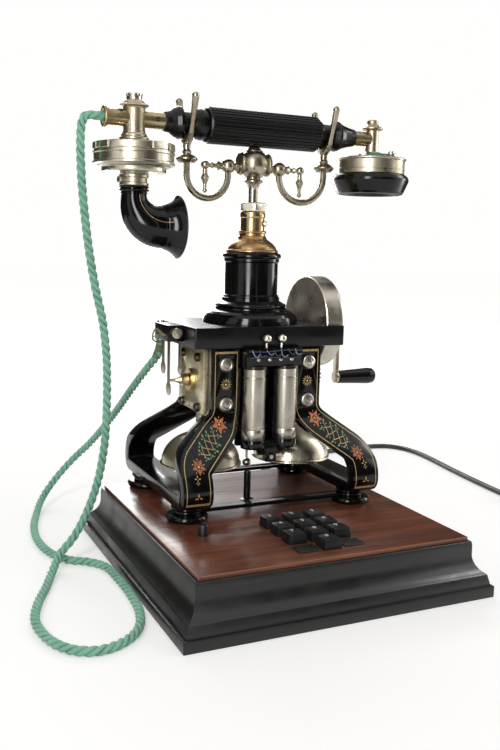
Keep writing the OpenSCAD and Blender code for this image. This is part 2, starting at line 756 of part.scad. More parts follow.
// Back plate, lower yoke with its two cores, and the ears that carry the clapper
module ringer_frame() color("#131314") difference() {
    union() {
        box([-frame_x, coil_y + 8.4, coil_low - 6], [frame_x, pole_front, plate_z]);
        for (sx = [-1, 1]) translate([sx * coil_x, coil_y, coil_low - 7]) {
            translate([0, 0, 1]) cylinder(d = coil_d + 1.6, h = 6);
            cylinder(d = core_d, h = coil_l + 7);
        }
        box([-coil_x, coil_y - 4, coil_low - 6], [coil_x, coil_y + 9, coil_low - 1]);
        for (y = [coil_y - 5, pole_front - 3.2]) box([-4, y, pivot_z - 3.5], [4, y + 2.4, coil_low - 5]);
    }
    translate([0, 0, pivot_z]) rod_y(coil_y - 9, pole_front + 9, 1.5 + run_gap);
}

module clapper() color("#b9b4a6") translate([0, 0, pivot_z]) {
    rod_y(coil_y - 6, phone_y + 2, 1.5);
    box([-10, coil_y - 2, -1], [10, coil_y + 5, 1]);
    translate([0, phone_y, 0]) {
        rod_y(-2, 2, 2.6);
        translate([0, 0, ball_z - pivot_z]) cylinder(d = 1.8, h = pivot_z - ball_z);
        translate([0, 0, ball_z - pivot_z]) sphere(d = ball_d);
    }
}

gong_z = generator_z - 63;

// Outer line of a gong from its rim to the post hole
function gong_line(r, h) = concat([[r, 0], [r, 1.5], [r - 1.2, 2.5]],
    [for (a = [15 : 15 : 75]) [(r - 1.2) * cos(a), 2.5 + (h - 2.5) * sin(a)]], [[0, h]]);

module gongs() color("#b3ad97") for (sx = [-1, 1]) translate([sx * gong_x, phone_y, gong_z]) difference() {
    turned_z(gong_line(gong_d / 2, gong_h));
    translate([0, 0, -eps]) turned_z(gong_line(gong_d / 2 - gong_wall, gong_h - gong_wall));
    cylinder(d = 4 + 2 * run_gap, h = 2 * gong_h);
}

module gong_posts() color("#9d9a92") for (sx = [-1, 1]) translate([sx * gong_x, phone_y, gong_z]) {
    translate([0, 0, gong_h]) cylinder(d = 8, h = generator_z - pole_h / 2 - gong_z - gong_h);
    translate([0, 0, gong_h - gong_wall - 1]) cylinder(d = 4, h = gong_wall + 1 + eps);
    translate([0, 0, gong_h - gong_wall - 3.6]) cylinder(d = 8, h = 3);
}

conduit_x = -8;
conduit_in = 19.5; // how far the conduit stands in front of the middle

module wire_conduit() color("#111112") translate([conduit_x, phone_y - conduit_in, plinth_h]) difference() {
    turned_z([[5, 0], [5, 1.2], [2.6, 2], [2.6, 21.5], [2.1, 22.5]]);
    translate([0, 0, 2]) cylinder(r = 1.5, h = 30);
}

// ---- table plate ----

plate_y0 = phone_y - plate_d / 2;
notch_half = drum_r + 0.3;

module table_plate() color("#141416") difference() {
    translate([0, phone_y, plate_z]) round_plate(plate_w, plate_d, plate_t, 1.2);
    box([drum_x - 0.3, phone_y - notch_half, plate_z - 1],
        [plate_w, phone_y + notch_half, plate_top + 1]);
}

module front_terminals() color("#c8c2b0") for (sx = [-1, 1]) {
    translate([sx * 5.8, 0, plate_top - 8]) {
        rod_y(plate_y0 - 3.4, plate_y0, 1.4);
        rotate([90, 0, 0]) translate([0, 0, -plate_y0 + 3.3]) rotate_extrude()
            polygon(concat([[0, 0]], arc(0, 0, 3.1, 0, 90, 6)));
    }
    translate([sx * 5.8, plate_y0 - 2.3, plate_z]) cylinder(r = 0.8, h = plate_t - 8);
}

block_x0 = -plate_w / 2 - 11.8;
block_y0 = phone_y - 16.5;
block_y1 = phone_y + 10.5;
block_z0 = plate_z + 3;
clamp_x = -plate_w / 2 - 5.85;
clamp_y = block_y1 + 5;
clamp_z0 = block_z0 - 2;

module terminal_block() color("#121214") {
    difference() {
        box([block_x0, block_y0, block_z0], [-plate_w / 2, block_y1, plate_top]);
        translate([clamp_x, 0, block_z0 + 6]) rod_y(block_y0 - 1, block_y0 + 6, 1.6);
    }
}

module cord_terminals() color("#b7b19f") {
    translate([clamp_x, clamp_y, clamp_z0]) {
        cylinder(d = 8, h = 12);
        translate([0, 0, 12 - eps]) cylinder(d = 5, h = 2.4);
    }
    translate([clamp_x, 0, block_z0 + 6]) {
        rod_y(block_y1, clamp_y, 2);
        rod_y(block_y0 - 3.6, block_y0, 3.6);
        rod_y(block_y0 - 5.6, block_y0 - 3.6 + eps, 2.4);
    }
}

leaf_t = 0.6;
leaf_w = 4.6;

// A leaf spring that hangs from z0 and ends in a round pad
module leaf(x, z0, z1, pad) {
    translate([x, phone_y, 0]) {
        box([-leaf_t / 2, -leaf_w / 2, z1], [leaf_t / 2, leaf_w / 2, z0]);
        translate([0, 0, z1]) rod_x(-leaf_t / 2, leaf_t / 2, pad / 2);
    }
}

module contact_springs() color("#c9c5b8") {
    leaf(-plate_w / 2 - 9, block_z0, plate_z - 17, 9);
    leaf(nose_tip - 0.4, block_z0, generator_z - 6, 9.5);
    leaf(-plate_w / 2 + 3.4, plate_z, plate_z - 19, 7);
    cord_terminals();
}

// ---- column ----

hook_bore_d = 8;
hook_bore_l = 22;
stem_d = 6.5;
cap_z = plate_top + column_h;
cap_h = 11.5;
sleeve_z = cap_z + 15.5;
sleeve_h = 13;
nut_z = sleeve_z + sleeve_h;
stem_nut_h = 7;

module column() color("#0d0d0e") translate([0, phone_y, plate_top]) difference() {
    foot_r = column_foot_d / 2;
    body_r = column_d / 2;
    turned_z(concat([[foot_r, 0], [foot_r, 1.2]],
        [for (a = [10 : 16 : 74]) [foot_r - 10 + 10 * cos(a), 1.2 + 8.6 * sin(a)]],
        [[body_r + 6.8, 10], [body_r + 6.8, 11]],
        arc(body_r + 5.3, 12.5, 1.5, -60, 90, 5),
        [[body_r + 2.4, 15.6], [body_r + 1.8, 16], [body_r + 1.8, 18.4], [body_r + 1, 18.8],
            [body_r + 1, 19.8], [body_r, 20.6], [body_r, column_h - 7.4],
            [body_r + 0.8, column_h - 6.6], [body_r + 0.8, column_h - 5.2]],
        arc(body_r + 0.2, column_h - 2.6, 2, -70, 90, 6), [[body_r - 0.4, column_h]]));
    translate([0, 0, column_h - hook_bore_l]) cylinder(d = hook_bore_d, h = hook_bore_l + 1);
}

// Brass dome, sleeve and nut that guide the cradle's stem
module column_cap() color("#b98d5a") translate([0, phone_y, cap_z]) difference() {
    union() {
        turned_z([[18.8, 0], [19.2, 0.8], [18.6, 2.2], [16.6, 4.6], [14, 7.4], [11.6, 10],
            [10.4, 11.5], [9.7, 11.9], [9.7, 15.5]]);
        turned_z([[8.6, 15.4], [8.6, 24], [9.3, 25], [9.3, 15.5 + sleeve_h]]);
        translate([0, 0, 15.5 + sleeve_h - eps]) cylinder(d = 20.4, h = stem_nut_h);
        translate([0, 0, 20.5]) rotate([0, 0, -40]) rod_x(7, 10.4, 1.8);
    }
    translate([0, 0, -1]) cylinder(d = stem_d + 2 * run_gap, h = 60);
}

// ---- cradle ----

hub_z = handset_z - 27;
ball_x = 20.2;
arm_low = hub_z - 25.2;
fork_z = hub_z + 17.5;
neck_low = handset_z - neck_d / 2 - 0.3;
drop_x = 37.6;

module cradle_hub() color("#b9b09a") translate([0, phone_y, 0]) {
    translate([0, 0, cap_z - 4]) cylinder(d = stem_d, h = hub_z - 8 - cap_z + 4);
    turned_z([[stem_d / 2, hub_z - 14], [6.4, hub_z - 12.6], [6.4, hub_z - 11],
        [4.2, hub_z - 9.6], [4.2, hub_z - 8]]);
    translate([0, 0, hub_z]) {
        sphere(d = 21);
        rod_x(-11.6, -9, 7.4);
        rod_x(9, 11.6, 7.4);
        turned_z([[4.6, 9], [3.4, 10.6], [1.8, 11.6], [1.4, 12.4]]);
    }
}

// Middle line of an arm, from the small ball at the hub to the fork's collar
function arm_path(reach) =
    let (r = (reach - ball_x) / 2, cz = arm_low + r + arm_d / 2)
    concat([[ball_x, hub_z - 4]],
        [for (p = arc(ball_x + r, cz, r, 180, 360, 14)) p], [[reach, hub_z + 0.6]]);

module cradle_arm(reach) {
    sweep([for (p = arm_path(reach)) [p[0], 0, p[1]]],
        [for (p = arm_path(reach)) arm_d / 2], 12, [0, 1, 0]);
    translate([0, 0, hub_z]) {
        turned_x([[11.6, 2], [12.4, 3.1], [14.2, 3.1], [15, 2.4], [16, 2.4]]);
        translate([ball_x, 0, 0]) sphere(d = 10.4);
        turned_x([[ball_x + 4.6, 2.6], [ball_x + 6, 2.4], [ball_x + 7.6, 3.2], [ball_x + 8.8, 1.6],
            [ball_x + 11, 1.4], [ball_x + 12.4, 2.2], [ball_x + 13.6, 1.3], [drop_x - 2, 1.3]]);
        translate([drop_x, 0, 0]) sphere(d = 6);
    }
    translate([drop_x, 0, 0]) {
        turned_z([[1, hub_z - 16.6], [1.2, hub_z - 13], [2.6, hub_z - 9.6], [2.9, hub_z - 8.4],
            [1.7, hub_z - 6.2], [1.5, hub_z - 2.4]]);
        translate([0, 0, hub_z - 17.6]) sphere(d = 3.2);
    }
}

module cradle_arms() color("#b9b09a") translate([0, phone_y, 0]) {
    cradle_arm(fork_right);
    mirror([1, 0, 0]) cradle_arm(fork_left);
}

// Middle line of one prong, in the YZ plane
function prong_line() =
    [[1.6, fork_z - 2.2], [5.2, fork_z - 0.6], [neck_d / 2 + 0.6, fork_z + 2.8],
        [neck_d / 2 + 2.4, fork_z + 8], [neck_d / 2 + 4.2, fork_z + 13.4],
        [prong_spread - 1.6, fork_z + 20], [prong_spread, fork_z + prong_h]];
prong_radii = [2.9, 2.6, 2.1, 1.7, 1.8, 2.2, 2.5];

module cradle_fork() {
    turned_z([[2.6, hub_z + 0.6], [5.6, hub_z + 0.6], [7.6, hub_z + 2.6], [7.6, hub_z + 3.6],
        [5.4, hub_z + 5.4], [3, hub_z + 6.8], [3.4, hub_z + 8], [2.4, hub_z + 9.4],
        [2.6, hub_z + 12.6], [3.6, fork_z - 2], [4.6, fork_z - 0.8], [3.4, neck_low]]);
    mirrored([0, 1, 0]) {
        sweep([for (p = prong_line()) [0, p[0], p[1]]], prong_radii, 12, [1, 0, 0]);
        translate([0, prong_spread, fork_z + prong_h]) sphere(r = 2.5);
    }
}

module cradle_forks() color("#b9b09a") translate([0, phone_y, 0]) {
    translate([fork_right, 0, 0]) cradle_fork();
    translate([-fork_left, 0, 0]) cradle_fork();
}

// ---- handset ----

tube_r = 5.7;
grip_x0 = -36;
grip_x1 = 50;
flutes = 32;

module handset_axis() {
    translate([0, phone_y, handset_z]) children();
}

left_end = -transmitter_x + 20.8;
right_end = receiver_x - 17.3;

module handle_grip() color("#101011") handset_axis() difference() {
    grip_r = grip_d / 2;
    neck_r = neck_d / 2;
    turned_x(concat(
        [[left_end, 6.3], [left_end + 1, 7], [left_end + 4, 7.6], [left_end + 7, 9.8],
            [left_end + 9.6, 11], [left_end + 11.6, 11]],
        [[-fork_left - 4.6, 9.2], [-fork_left - 3.4, neck_r], [-fork_left + 3.4, neck_r],
            [-fork_left + 4.6, 8.6], [grip_x0 - 9, 10.2], [grip_x0 - 6.4, 10.8], [grip_x0 - 4, 10.6],
            [grip_x0 - 3.2, 9.4], [grip_x0 - 2.4, 9.4], [grip_x0 - 1.6, grip_r - 1],
            [grip_x0, grip_r], [grip_x1 - 1.4, grip_r], [grip_x1, grip_r - 1.4]],
        [[fork_right - 5, 9.6], [fork_right - 3.6, neck_r], [fork_right + 3.4, neck_r],
            [fork_right + 4.8, 9.2], [fork_right + 8, 11], [fork_right + 10, 10.8],
            [fork_right + 14, 8.6], [right_end - 4.6, 7], [right_end, 6.2]]));
    for (i = [0 : flutes - 1]) rotate([360 * i / flutes, 0, 0]) translate([0, 0, grip_r + 0.45])
        rod_x(grip_x0 - 0.4, grip_x1 + 1, 1.05);
    rod_x(left_end - 1, left_end + 10, tube_r + run_gap);
    rod_x(right_end - 8, right_end + 1, tube_r - 0.5 + run_gap);
}

cord_mouth_x = -transmitter_x - 21.7;

binding_x = cord_mouth_x - 7.8;

// Nickel tubes at both ends; the left one is open at its mouth and holds the cord's bound end
module handset_tubes() color("#b7a982") handset_axis() {
    difference() {
        turned_x([[cord_mouth_x, 6.9], [cord_mouth_x + 1.2, 7.1], [cord_mouth_x + 3.4, tube_r],
            [left_end, tube_r], [left_end + 9.8, tube_r]]);
        rod_x(cord_mouth_x + 1.6, left_end + 20, tube_r - 1.2);
    }
    turned_x([[binding_x, 2.7], [cord_mouth_x + 2.6, 2.7], [cord_mouth_x + 3.6, tube_r - 1.22],
        [cord_mouth_x + 12, tube_r - 1.22]]);
    rod_x(right_end - 7.8, receiver_x - 2.5, tube_r - 0.5);
}

module notched_ring(r, z0, z1, count, w, depth) {
    difference() {
        translate([0, 0, z0]) cylinder(r = r, h = z1 - z0);
        for (i = [0 : count - 1]) rotate([0, 0, 360 * i / count])
            box([r - depth, -w / 2, z0 - 1], [r + 1, w / 2, z1 + 1]);
    }
}

// Height of the handset's pieces, measured from its axis
case_top = handset_z - 14;
case_low = handset_z - 36;

module transmitter_bracket() color("#b7ae93") translate([-transmitter_x, phone_y, 0]) difference() {
    union() {
        turned_z([[9.2, case_top + 0.4], [9.6, case_top + 2], [9.2, case_top + 4.2], [8, case_top + 5],
            [7.3, case_top + 6], [7.3, handset_z + 7.4], [7.9, handset_z + 8.4], [9.6, handset_z + 8.8],
            [9.6, handset_z + 9.8], [7, handset_z + 11.4], [6, handset_z + 12.4]]);
        difference() {
            translate([0, 0, handset_z + 12.3]) cylinder(r = 6, h = 3.9);
            for (a = [0 : 60 : 120]) rotate([0, 0, a + 15])
                box([-8, -1.5, handset_z + 13.8], [8, 1.5, handset_z + 18]);
            translate([0, 0, handset_z + 13.8]) cylinder(r = 3.4, h = 5);
        }
    }
    translate([0, 0, handset_z]) rod_x(-20, 20, tube_r + 0.02);
}

module transmitter_case() color("#b2aa95") translate([-transmitter_x, phone_y, 0]) {
    r = transmitter_d / 2;
    turned_z([[r - 6.4, case_low + 2], [r - 6.4, case_low + 3.4], [r - 3, case_low + 4.4],
        [r - 2.4, case_low + 5], [r, case_low + 5.2], [r, case_low + 13.2],
        [r - 1.2, case_low + 13.6], [r - 1.2, case_low + 14.2]]);
    notched_ring(r, case_low + 14.2 - eps, case_low + 19.6, 12, 3, 1.6);
    turned_z([[r - 1, case_low + 19.5], [r - 3, case_low + 20.2], [r - 4, case_low + 21],
        [10, case_top + 0.4]]);
    difference() {
        turned_z([[9.2, case_low - 8.5], [9.2, case_low - 6.6], [8.8, case_low - 6],
            [8.8, case_low - 4], [9.8, case_low - 3], [9.8, case_low - 1], [11, case_low],
            [r - 6.4, case_low], [r - 6.4, case_low + 2]]);
        translate([0, 0, case_low - 10]) cylinder(r = 5.6, h = 12);
    }
    translate([0, 0, case_low - 4.8]) rotate([0, 0, 200]) {
        rod_x(8, 10.6, 1.6);
        rod_x(10.5, 12.8, 2.7);
    }
}

// The horn bends from straight down to straight ahead and widens to its mouth
horn_top = case_low - 8.5;
bend_r = 19;
horn_wall = 1.6;
mouth_x = 31.4; // from the transmitter's axis to the plane of the mouth
bend_z = horn_top - 7.2;
horn_line = concat([[0, horn_top - 2], [0, bend_z]],
    [for (i = [1 : 6]) let (a = 15 * i) [bend_r - bend_r * cos(a), bend_z - bend_r * sin(a)]],
    [[bend_r + 4.4, bend_z - bend_r], [bend_r + 8, bend_z - bend_r],
        [bend_r + 10.6, bend_z - bend_r], [mouth_x, bend_z - bend_r]]);
horn_share = [0, 0.01, 0.05, 0.13, 0.25, 0.38, 0.51, 0.63, 0.74, 0.84, 0.93, 1];
horn_r = 8.5;

function horn_radii(less) =
    [for (s = horn_share) horn_r + (mouth_d / 2 - horn_r) * s - less];

module mouthpiece_horn() color("#0b0c10") translate([-transmitter_x, phone_y, 0]) difference() {
    union() {
        sweep([for (p = horn_line) [p[0], 0, p[1]]], horn_radii(0), 24, [0, 1, 0]);
        translate([0, 0, horn_top - 3]) cylinder(r = 10.4, h = 3);
    }
    sweep([for (p = concat([[0, horn_top + 1]], [for (i = [1 : len(horn_line) - 2]) horn_line[i]],
            [horn_line[len(horn_line) - 1] + [1, 0]])) [p[0], 0, p[1]]],
        horn_radii(horn_wall), 24, [0, 1, 0]);
}

module receiver_bracket() color("#b2aa95") translate([receiver_x, phone_y, 0]) difference() {
    turned_z([[8.6, case_top], [8.6, case_top + 1.6], [6, case_top + 3.6], [5, case_top + 4.6],
        [4.9, handset_z + 6.6], [7.8, handset_z + 7.8], [7.8, handset_z + 8.6], [4.8, handset_z + 10.4],
        [4.4, handset_z + 11.2], [4.4, handset_z + 13.6], [4, handset_z + 14.4]]);
    translate([0, 0, handset_z]) rod_x(-10, -2.4, tube_r - 0.5 + 0.02);
}

cup_depth = 12.2;
cup_low = case_top - cup_depth;

module receiver_case() color("#bdb6a2") translate([receiver_x, phone_y, 0]) {
    r = receiver_d / 2;
    turned_z([[r - 0.8, cup_low], [r - 0.4, cup_low + 1], [r - 0.4, cup_low + 10.2],
        [r + 0.6, cup_low + 10.8], [r + 0.6, cup_low + 11.8], [r - 0.4, case_top]]);
    for (sy = [-1, 1]) translate([12, sy * 9, case_top - eps]) {
        cylinder(r = 2.4, h = 4.4);
        translate([0, 0, 1.2]) cylinder(r = 3.2, h = 1.2);
    }
}

ear_depth = 7;
ear_cap_h = 15.1;
ear_cap_low = cup_low - ear_cap_h;

module ear_cap() color("#0e0e10") translate([receiver_x, phone_y, ear_cap_low]) difference() {
    r = ear_cap_d / 2;
    turned_z([[r - 6, 0], [r - 4.6, 0.4], [r - 3.4, 2], [r - 1.2, 7], [r, 10], [r, 11.6], [r - 1, 13.6],
        [r - 3.2, ear_cap_h]]);
    rotate_extrude() polygon([[0, -1], [r - 9, -1], [r - 9, 0], [r - 14, 4], [0, ear_depth]]);
    translate([0, 0, -1]) cylinder(r = 4, h = 12);
}

// ---- cords ----

line_x = 80;
line_z = 12;
relief_neck_d = 10;
relief_l = 26;
relief_end = [line_x, panel_d / 2 + moulding_out + relief_l, 8];

// Route of the handset's cord: out of the tube, down, over itself, round on the table and
// up to the terminal behind the left side
handset_route = [[binding_x, phone_y, handset_z], [binding_x - 2.4, phone_y, handset_z],
    [-123.4, 44.5, 304.4], [-125.2, 44.5, 299.5], [-125.8, 44.5, 291], [-125.8, 44.5, 280],
    [-125, 44.5, 262], [-123, 44.5, 240], [-120, 44.5, 216], [-115.8, 44.5, 192],
    [-111, 44.5, 170], [-108.5, 44.5, 147], [-108, 44.5, 125],
    [-108.5, 44.5, 104], [-110, 44.5, 83], [-114.5, 44.5, 59], [-122, 44, 38], [-132, 42, 21],
    [-143, 38, 10.5], [-152, 22, 4.5], [-160, 2, 3], [-170, -22, 3], [-176, -46, 3], [-174, -70, 3],
    [-166, -87, 3], [-153, -95, 3], [-138, -92, 3], [-124, -79, 3], [-116, -58, 3], [-113, -30, 3],
    [-113, -2, 3], [-115, 22, 3], [-124, 36, 3], [-136, 45, 3], [-145, 64, 3], [-148, 92, 3],
    [-145, 122, 3], [-138, 150, 4], [-128, 175, 10], [-114, 190, 21], [-99, 192, 36],
    [-87, 176, 54], [-80, 152, 74], [-76.5, 124, 94], [-74, 98, 113], [-70, 77, 130],
    [-65.8, 64, 142], [-64.3, 60.8, 149], [clamp_x, clamp_y, 152], [clamp_x, clamp_y, clamp_z0]];

module handset_cord() color("#2f8f63")
    tube(handset_route, handset_cord_d, 8, [0, 1, 0]);

coil_centre = [306, 36];
coil_mean_r = 28;
coil_w = 3 * line_cord_d;

// Route of the line cord: from its strain relief along the table to its coil
line_route = [relief_end, [80, 150, 6], [79, 163, 3.5], [80, 180, 2.5], [85, 197, 2.5], [95, 213, 2.5],
    [110, 228, 2.5], [130, 242, 2.5], [155, 254, 2.5], [180, 262, 2.5], [205, 267, 2.5],
    [230, 270, 2.5], [250, 271, 2.5], [267, 270, 2.5], [281, 264, 2.5], [290, 250, 2.5],
    [293, 232, 2.5], [292, 210, 2.5], [288.5, 185, 2.5], [284.5, 160, 2.5], [281, 135, 2.5],
    [278, 110, 2.5], [275.5, 85, 2.5], [273.6, 62, 2.5], [273, 46, 2.5]];

module line_cord() color("#3a3a3c") tube(line_route, line_cord_d, 8, [0, 0, 1]);

// Strain relief: a neck through the rear rail and a tapered sleeve that bends down
module cord_relief() color("#26262a") {
    wall_y = panel_d / 2 + moulding_out;
    sweep([[line_x, panel_d / 2 - rail_w - 1, line_z], [line_x, wall_y - 9, line_z],
            [line_x, wall_y + 2, line_z], [line_x, wall_y + relief_l / 2, line_z - 1.6], relief_end],
        [relief_neck_d / 2, relief_neck_d / 2, 4.4, 3.6, 2.9], 16, [1, 0, 0]);
}

module line_cord_coil() color("#3a3a3c") translate([coil_centre[0], coil_centre[1], 0]) {
    rotate_extrude() translate([coil_mean_r - coil_w / 2, 0])
        polygon([[0, 1], [1, 0], [coil_w - 1, 0], [coil_w, 1], [coil_w, coil_w - 1], [coil_w - 1, coil_w],
            [1, coil_w], [0, coil_w - 1]]);
}

// Small modular plug that lies against the coil's top
module line_plug() color("#d8d4c4") translate([coil_centre[0], coil_centre[1], coil_w]) {
    translate([-coil_mean_r - 5.8, -6, 0]) cube([11.6, 12.5, 6.6]);
    translate([-coil_mean_r - 1.6, -9, 4.4]) cube([3.2, 13, 1]);
}

plinth_rails();
top_panel();
bottom_cover();
cover_screws();
keypad_board();
key_cap(0);  // key_0
key_cap(1);  // key_1
key_cap(2);  // key_2
key_cap(3);  // key_3
key_cap(4);  // key_4
key_cap(5);  // key_5
key_cap(6);  // key_6
key_cap(7);  // key_7
key_cap(8);  // key_8
key_cap(9);  // key_9
blank_keys();
recall_button();
feet();
tie_bars();
left_magnet();
right_magnet();
magnet_nuts();
pole_pieces();
end_plates();
bearings();
armature();
armature_winding();
crank_gear();
crank_arm();
crank_handle();
gear_cover();
ringer_frame();
ringer_coils();
ringer_block();
clapper();
gongs();
gong_posts();
wire_conduit();
table_plate();
front_terminals();
terminal_block();
contact_springs();
column();
column_cap();
cradle_hub();
cradle_arms();
cradle_forks();
handle_grip();
handset_tubes();
transmitter_bracket();
transmitter_case();
mouthpiece_horn();
receiver_bracket();
receiver_case();
ear_cap();
handset_cord();
cord_relief();
line_cord();
line_cord_coil();
line_plug();
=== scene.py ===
import json
import math

import bpy
from mathutils import Matrix, Vector

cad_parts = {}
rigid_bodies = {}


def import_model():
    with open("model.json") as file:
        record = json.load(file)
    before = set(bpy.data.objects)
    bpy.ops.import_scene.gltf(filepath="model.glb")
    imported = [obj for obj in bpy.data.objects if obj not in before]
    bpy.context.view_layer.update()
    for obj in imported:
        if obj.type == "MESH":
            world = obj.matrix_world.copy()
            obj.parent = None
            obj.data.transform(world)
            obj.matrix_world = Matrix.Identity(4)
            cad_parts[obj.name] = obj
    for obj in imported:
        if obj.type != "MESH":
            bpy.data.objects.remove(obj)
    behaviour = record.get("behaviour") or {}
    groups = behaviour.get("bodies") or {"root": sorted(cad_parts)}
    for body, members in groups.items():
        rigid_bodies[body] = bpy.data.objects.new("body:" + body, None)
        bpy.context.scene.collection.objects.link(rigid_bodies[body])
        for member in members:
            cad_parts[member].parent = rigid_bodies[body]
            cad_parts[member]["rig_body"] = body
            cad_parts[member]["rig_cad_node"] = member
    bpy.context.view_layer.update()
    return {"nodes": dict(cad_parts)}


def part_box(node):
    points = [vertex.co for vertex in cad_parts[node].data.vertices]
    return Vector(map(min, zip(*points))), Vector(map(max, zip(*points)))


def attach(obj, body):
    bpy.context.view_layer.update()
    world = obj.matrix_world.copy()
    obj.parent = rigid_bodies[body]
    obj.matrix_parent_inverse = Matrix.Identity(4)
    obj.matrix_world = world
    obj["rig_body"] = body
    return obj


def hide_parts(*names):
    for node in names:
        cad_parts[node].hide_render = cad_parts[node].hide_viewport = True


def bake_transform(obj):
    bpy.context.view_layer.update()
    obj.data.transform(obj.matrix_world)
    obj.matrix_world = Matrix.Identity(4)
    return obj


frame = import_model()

# Lengths are written in millimetres and multiplied by MM where a mesh is made.
# Ornaments, wires and engraved marks follow sizes that are read from the frame.
MM = 0.001


# ---- places read from the frame ----

def low(node):
    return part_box(node)[0] / MM


def high(node):
    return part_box(node)[1] / MM


def middle(node):
    return (low(node) + high(node)) / 2


PHONE_Y = middle("column").y
HANDSET_Z = middle("handle_grip").z
TRANSMITTER_X = middle("transmitter_bracket").x
RECEIVER_X = middle("ear_cap").x
HUB_Z = high("cradle_forks").z - 43.5  # the hub's middle is that far under the tips of the prongs
GENERATOR_Z = middle("bearings").z


def around_phone(x, z):
    """A place in the upright plane through the middle of the column and the handset."""
    return (x, PHONE_Y, z)


# ---- camera ----

CAMERA_PLACE = (-264.3, -524.0, 223.5)
CAMERA_YAW, CAMERA_PITCH, CAMERA_ROLL = 0.437, 0.150, 0.025
FOCAL_SHARE = 849.0 / 750.0  # focal length over the picture's long side


def make_camera():
    """The camera stands left of the phone and in front of it, a little above the plate."""
    forward = Vector((
        math.sin(CAMERA_YAW) * math.cos(CAMERA_PITCH),
        math.cos(CAMERA_YAW) * math.cos(CAMERA_PITCH),
        -math.sin(CAMERA_PITCH),
    ))
    level = Vector((math.cos(CAMERA_YAW), -math.sin(CAMERA_YAW), 0))
    rise = level.cross(forward)
    right = math.cos(CAMERA_ROLL) * level + math.sin(CAMERA_ROLL) * rise
    up = right.cross(forward)
    deselect()
    bpy.ops.object.camera_add()
    camera = bpy.context.object
    camera.name = "camera"
    camera.data.sensor_width = 36.0
    camera.data.lens = 36.0 * FOCAL_SHARE
    camera.data.clip_start, camera.data.clip_end = 0.05, 20.0
    turn = Matrix((right, up, -forward)).transposed()
    camera.matrix_world = Matrix.Translation(Vector(CAMERA_PLACE) * MM) @ turn.to_4x4()
    bpy.context.scene.camera = camera


# ---- selecting ----

def deselect():
    if bpy.context.mode != "OBJECT":
        bpy.ops.object.mode_set(mode="OBJECT")
    bpy.ops.object.select_all(action="DESELECT")


def take(piece):
    """Selects one piece alone and makes it active."""
    deselect()
    piece.select_set(True)
    bpy.context.view_layer.objects.active = piece


def edit_all(piece):
    take(piece)
    bpy.ops.object.mode_set(mode="EDIT")
    bpy.ops.mesh.select_all(action="SELECT")


def weld(piece, reach):
    """Merges doubled points and turns the faces outward."""
    edit_all(piece)
    bpy.ops.mesh.remove_doubles(threshold=reach)
    bpy.ops.mesh.normals_make_consistent(inside=False)
    deselect()


def edit_faces(piece, wanted):
    """Opens a piece for editing with only the wanted faces selected."""
    edit_all(piece)
    bpy.ops.mesh.select_all(action="DESELECT")
    deselect()
    for face in piece.data.polygons:
        face.select = wanted(face)
    take(piece)
    bpy.ops.object.mode_set(mode="EDIT")


def apply_modifier(piece, kind, **settings):
    take(piece)
    modifier = piece.modifiers.new(kind.lower(), kind)
    for key, value in settings.items():
        setattr(modifier, key, value)
    bpy.ops.object.modifier_apply(modifier=modifier.name)


def place(piece):
    """Applies a piece's place, turn and size to its mesh."""
    take(piece)
    bpy.ops.object.transform_apply(location=True, rotation=True, scale=True)


# ---- finishes ----

def paint(red, green, blue):
    """A colour written as 0 to 255 on a screen, made linear."""
    def linear(value):
        share = value / 255
        return share / 12.92 if share <= 0.04045 else ((share + 0.055) / 1.055) ** 2.4
    return (linear(red), linear(green), linear(blue), 1.0)


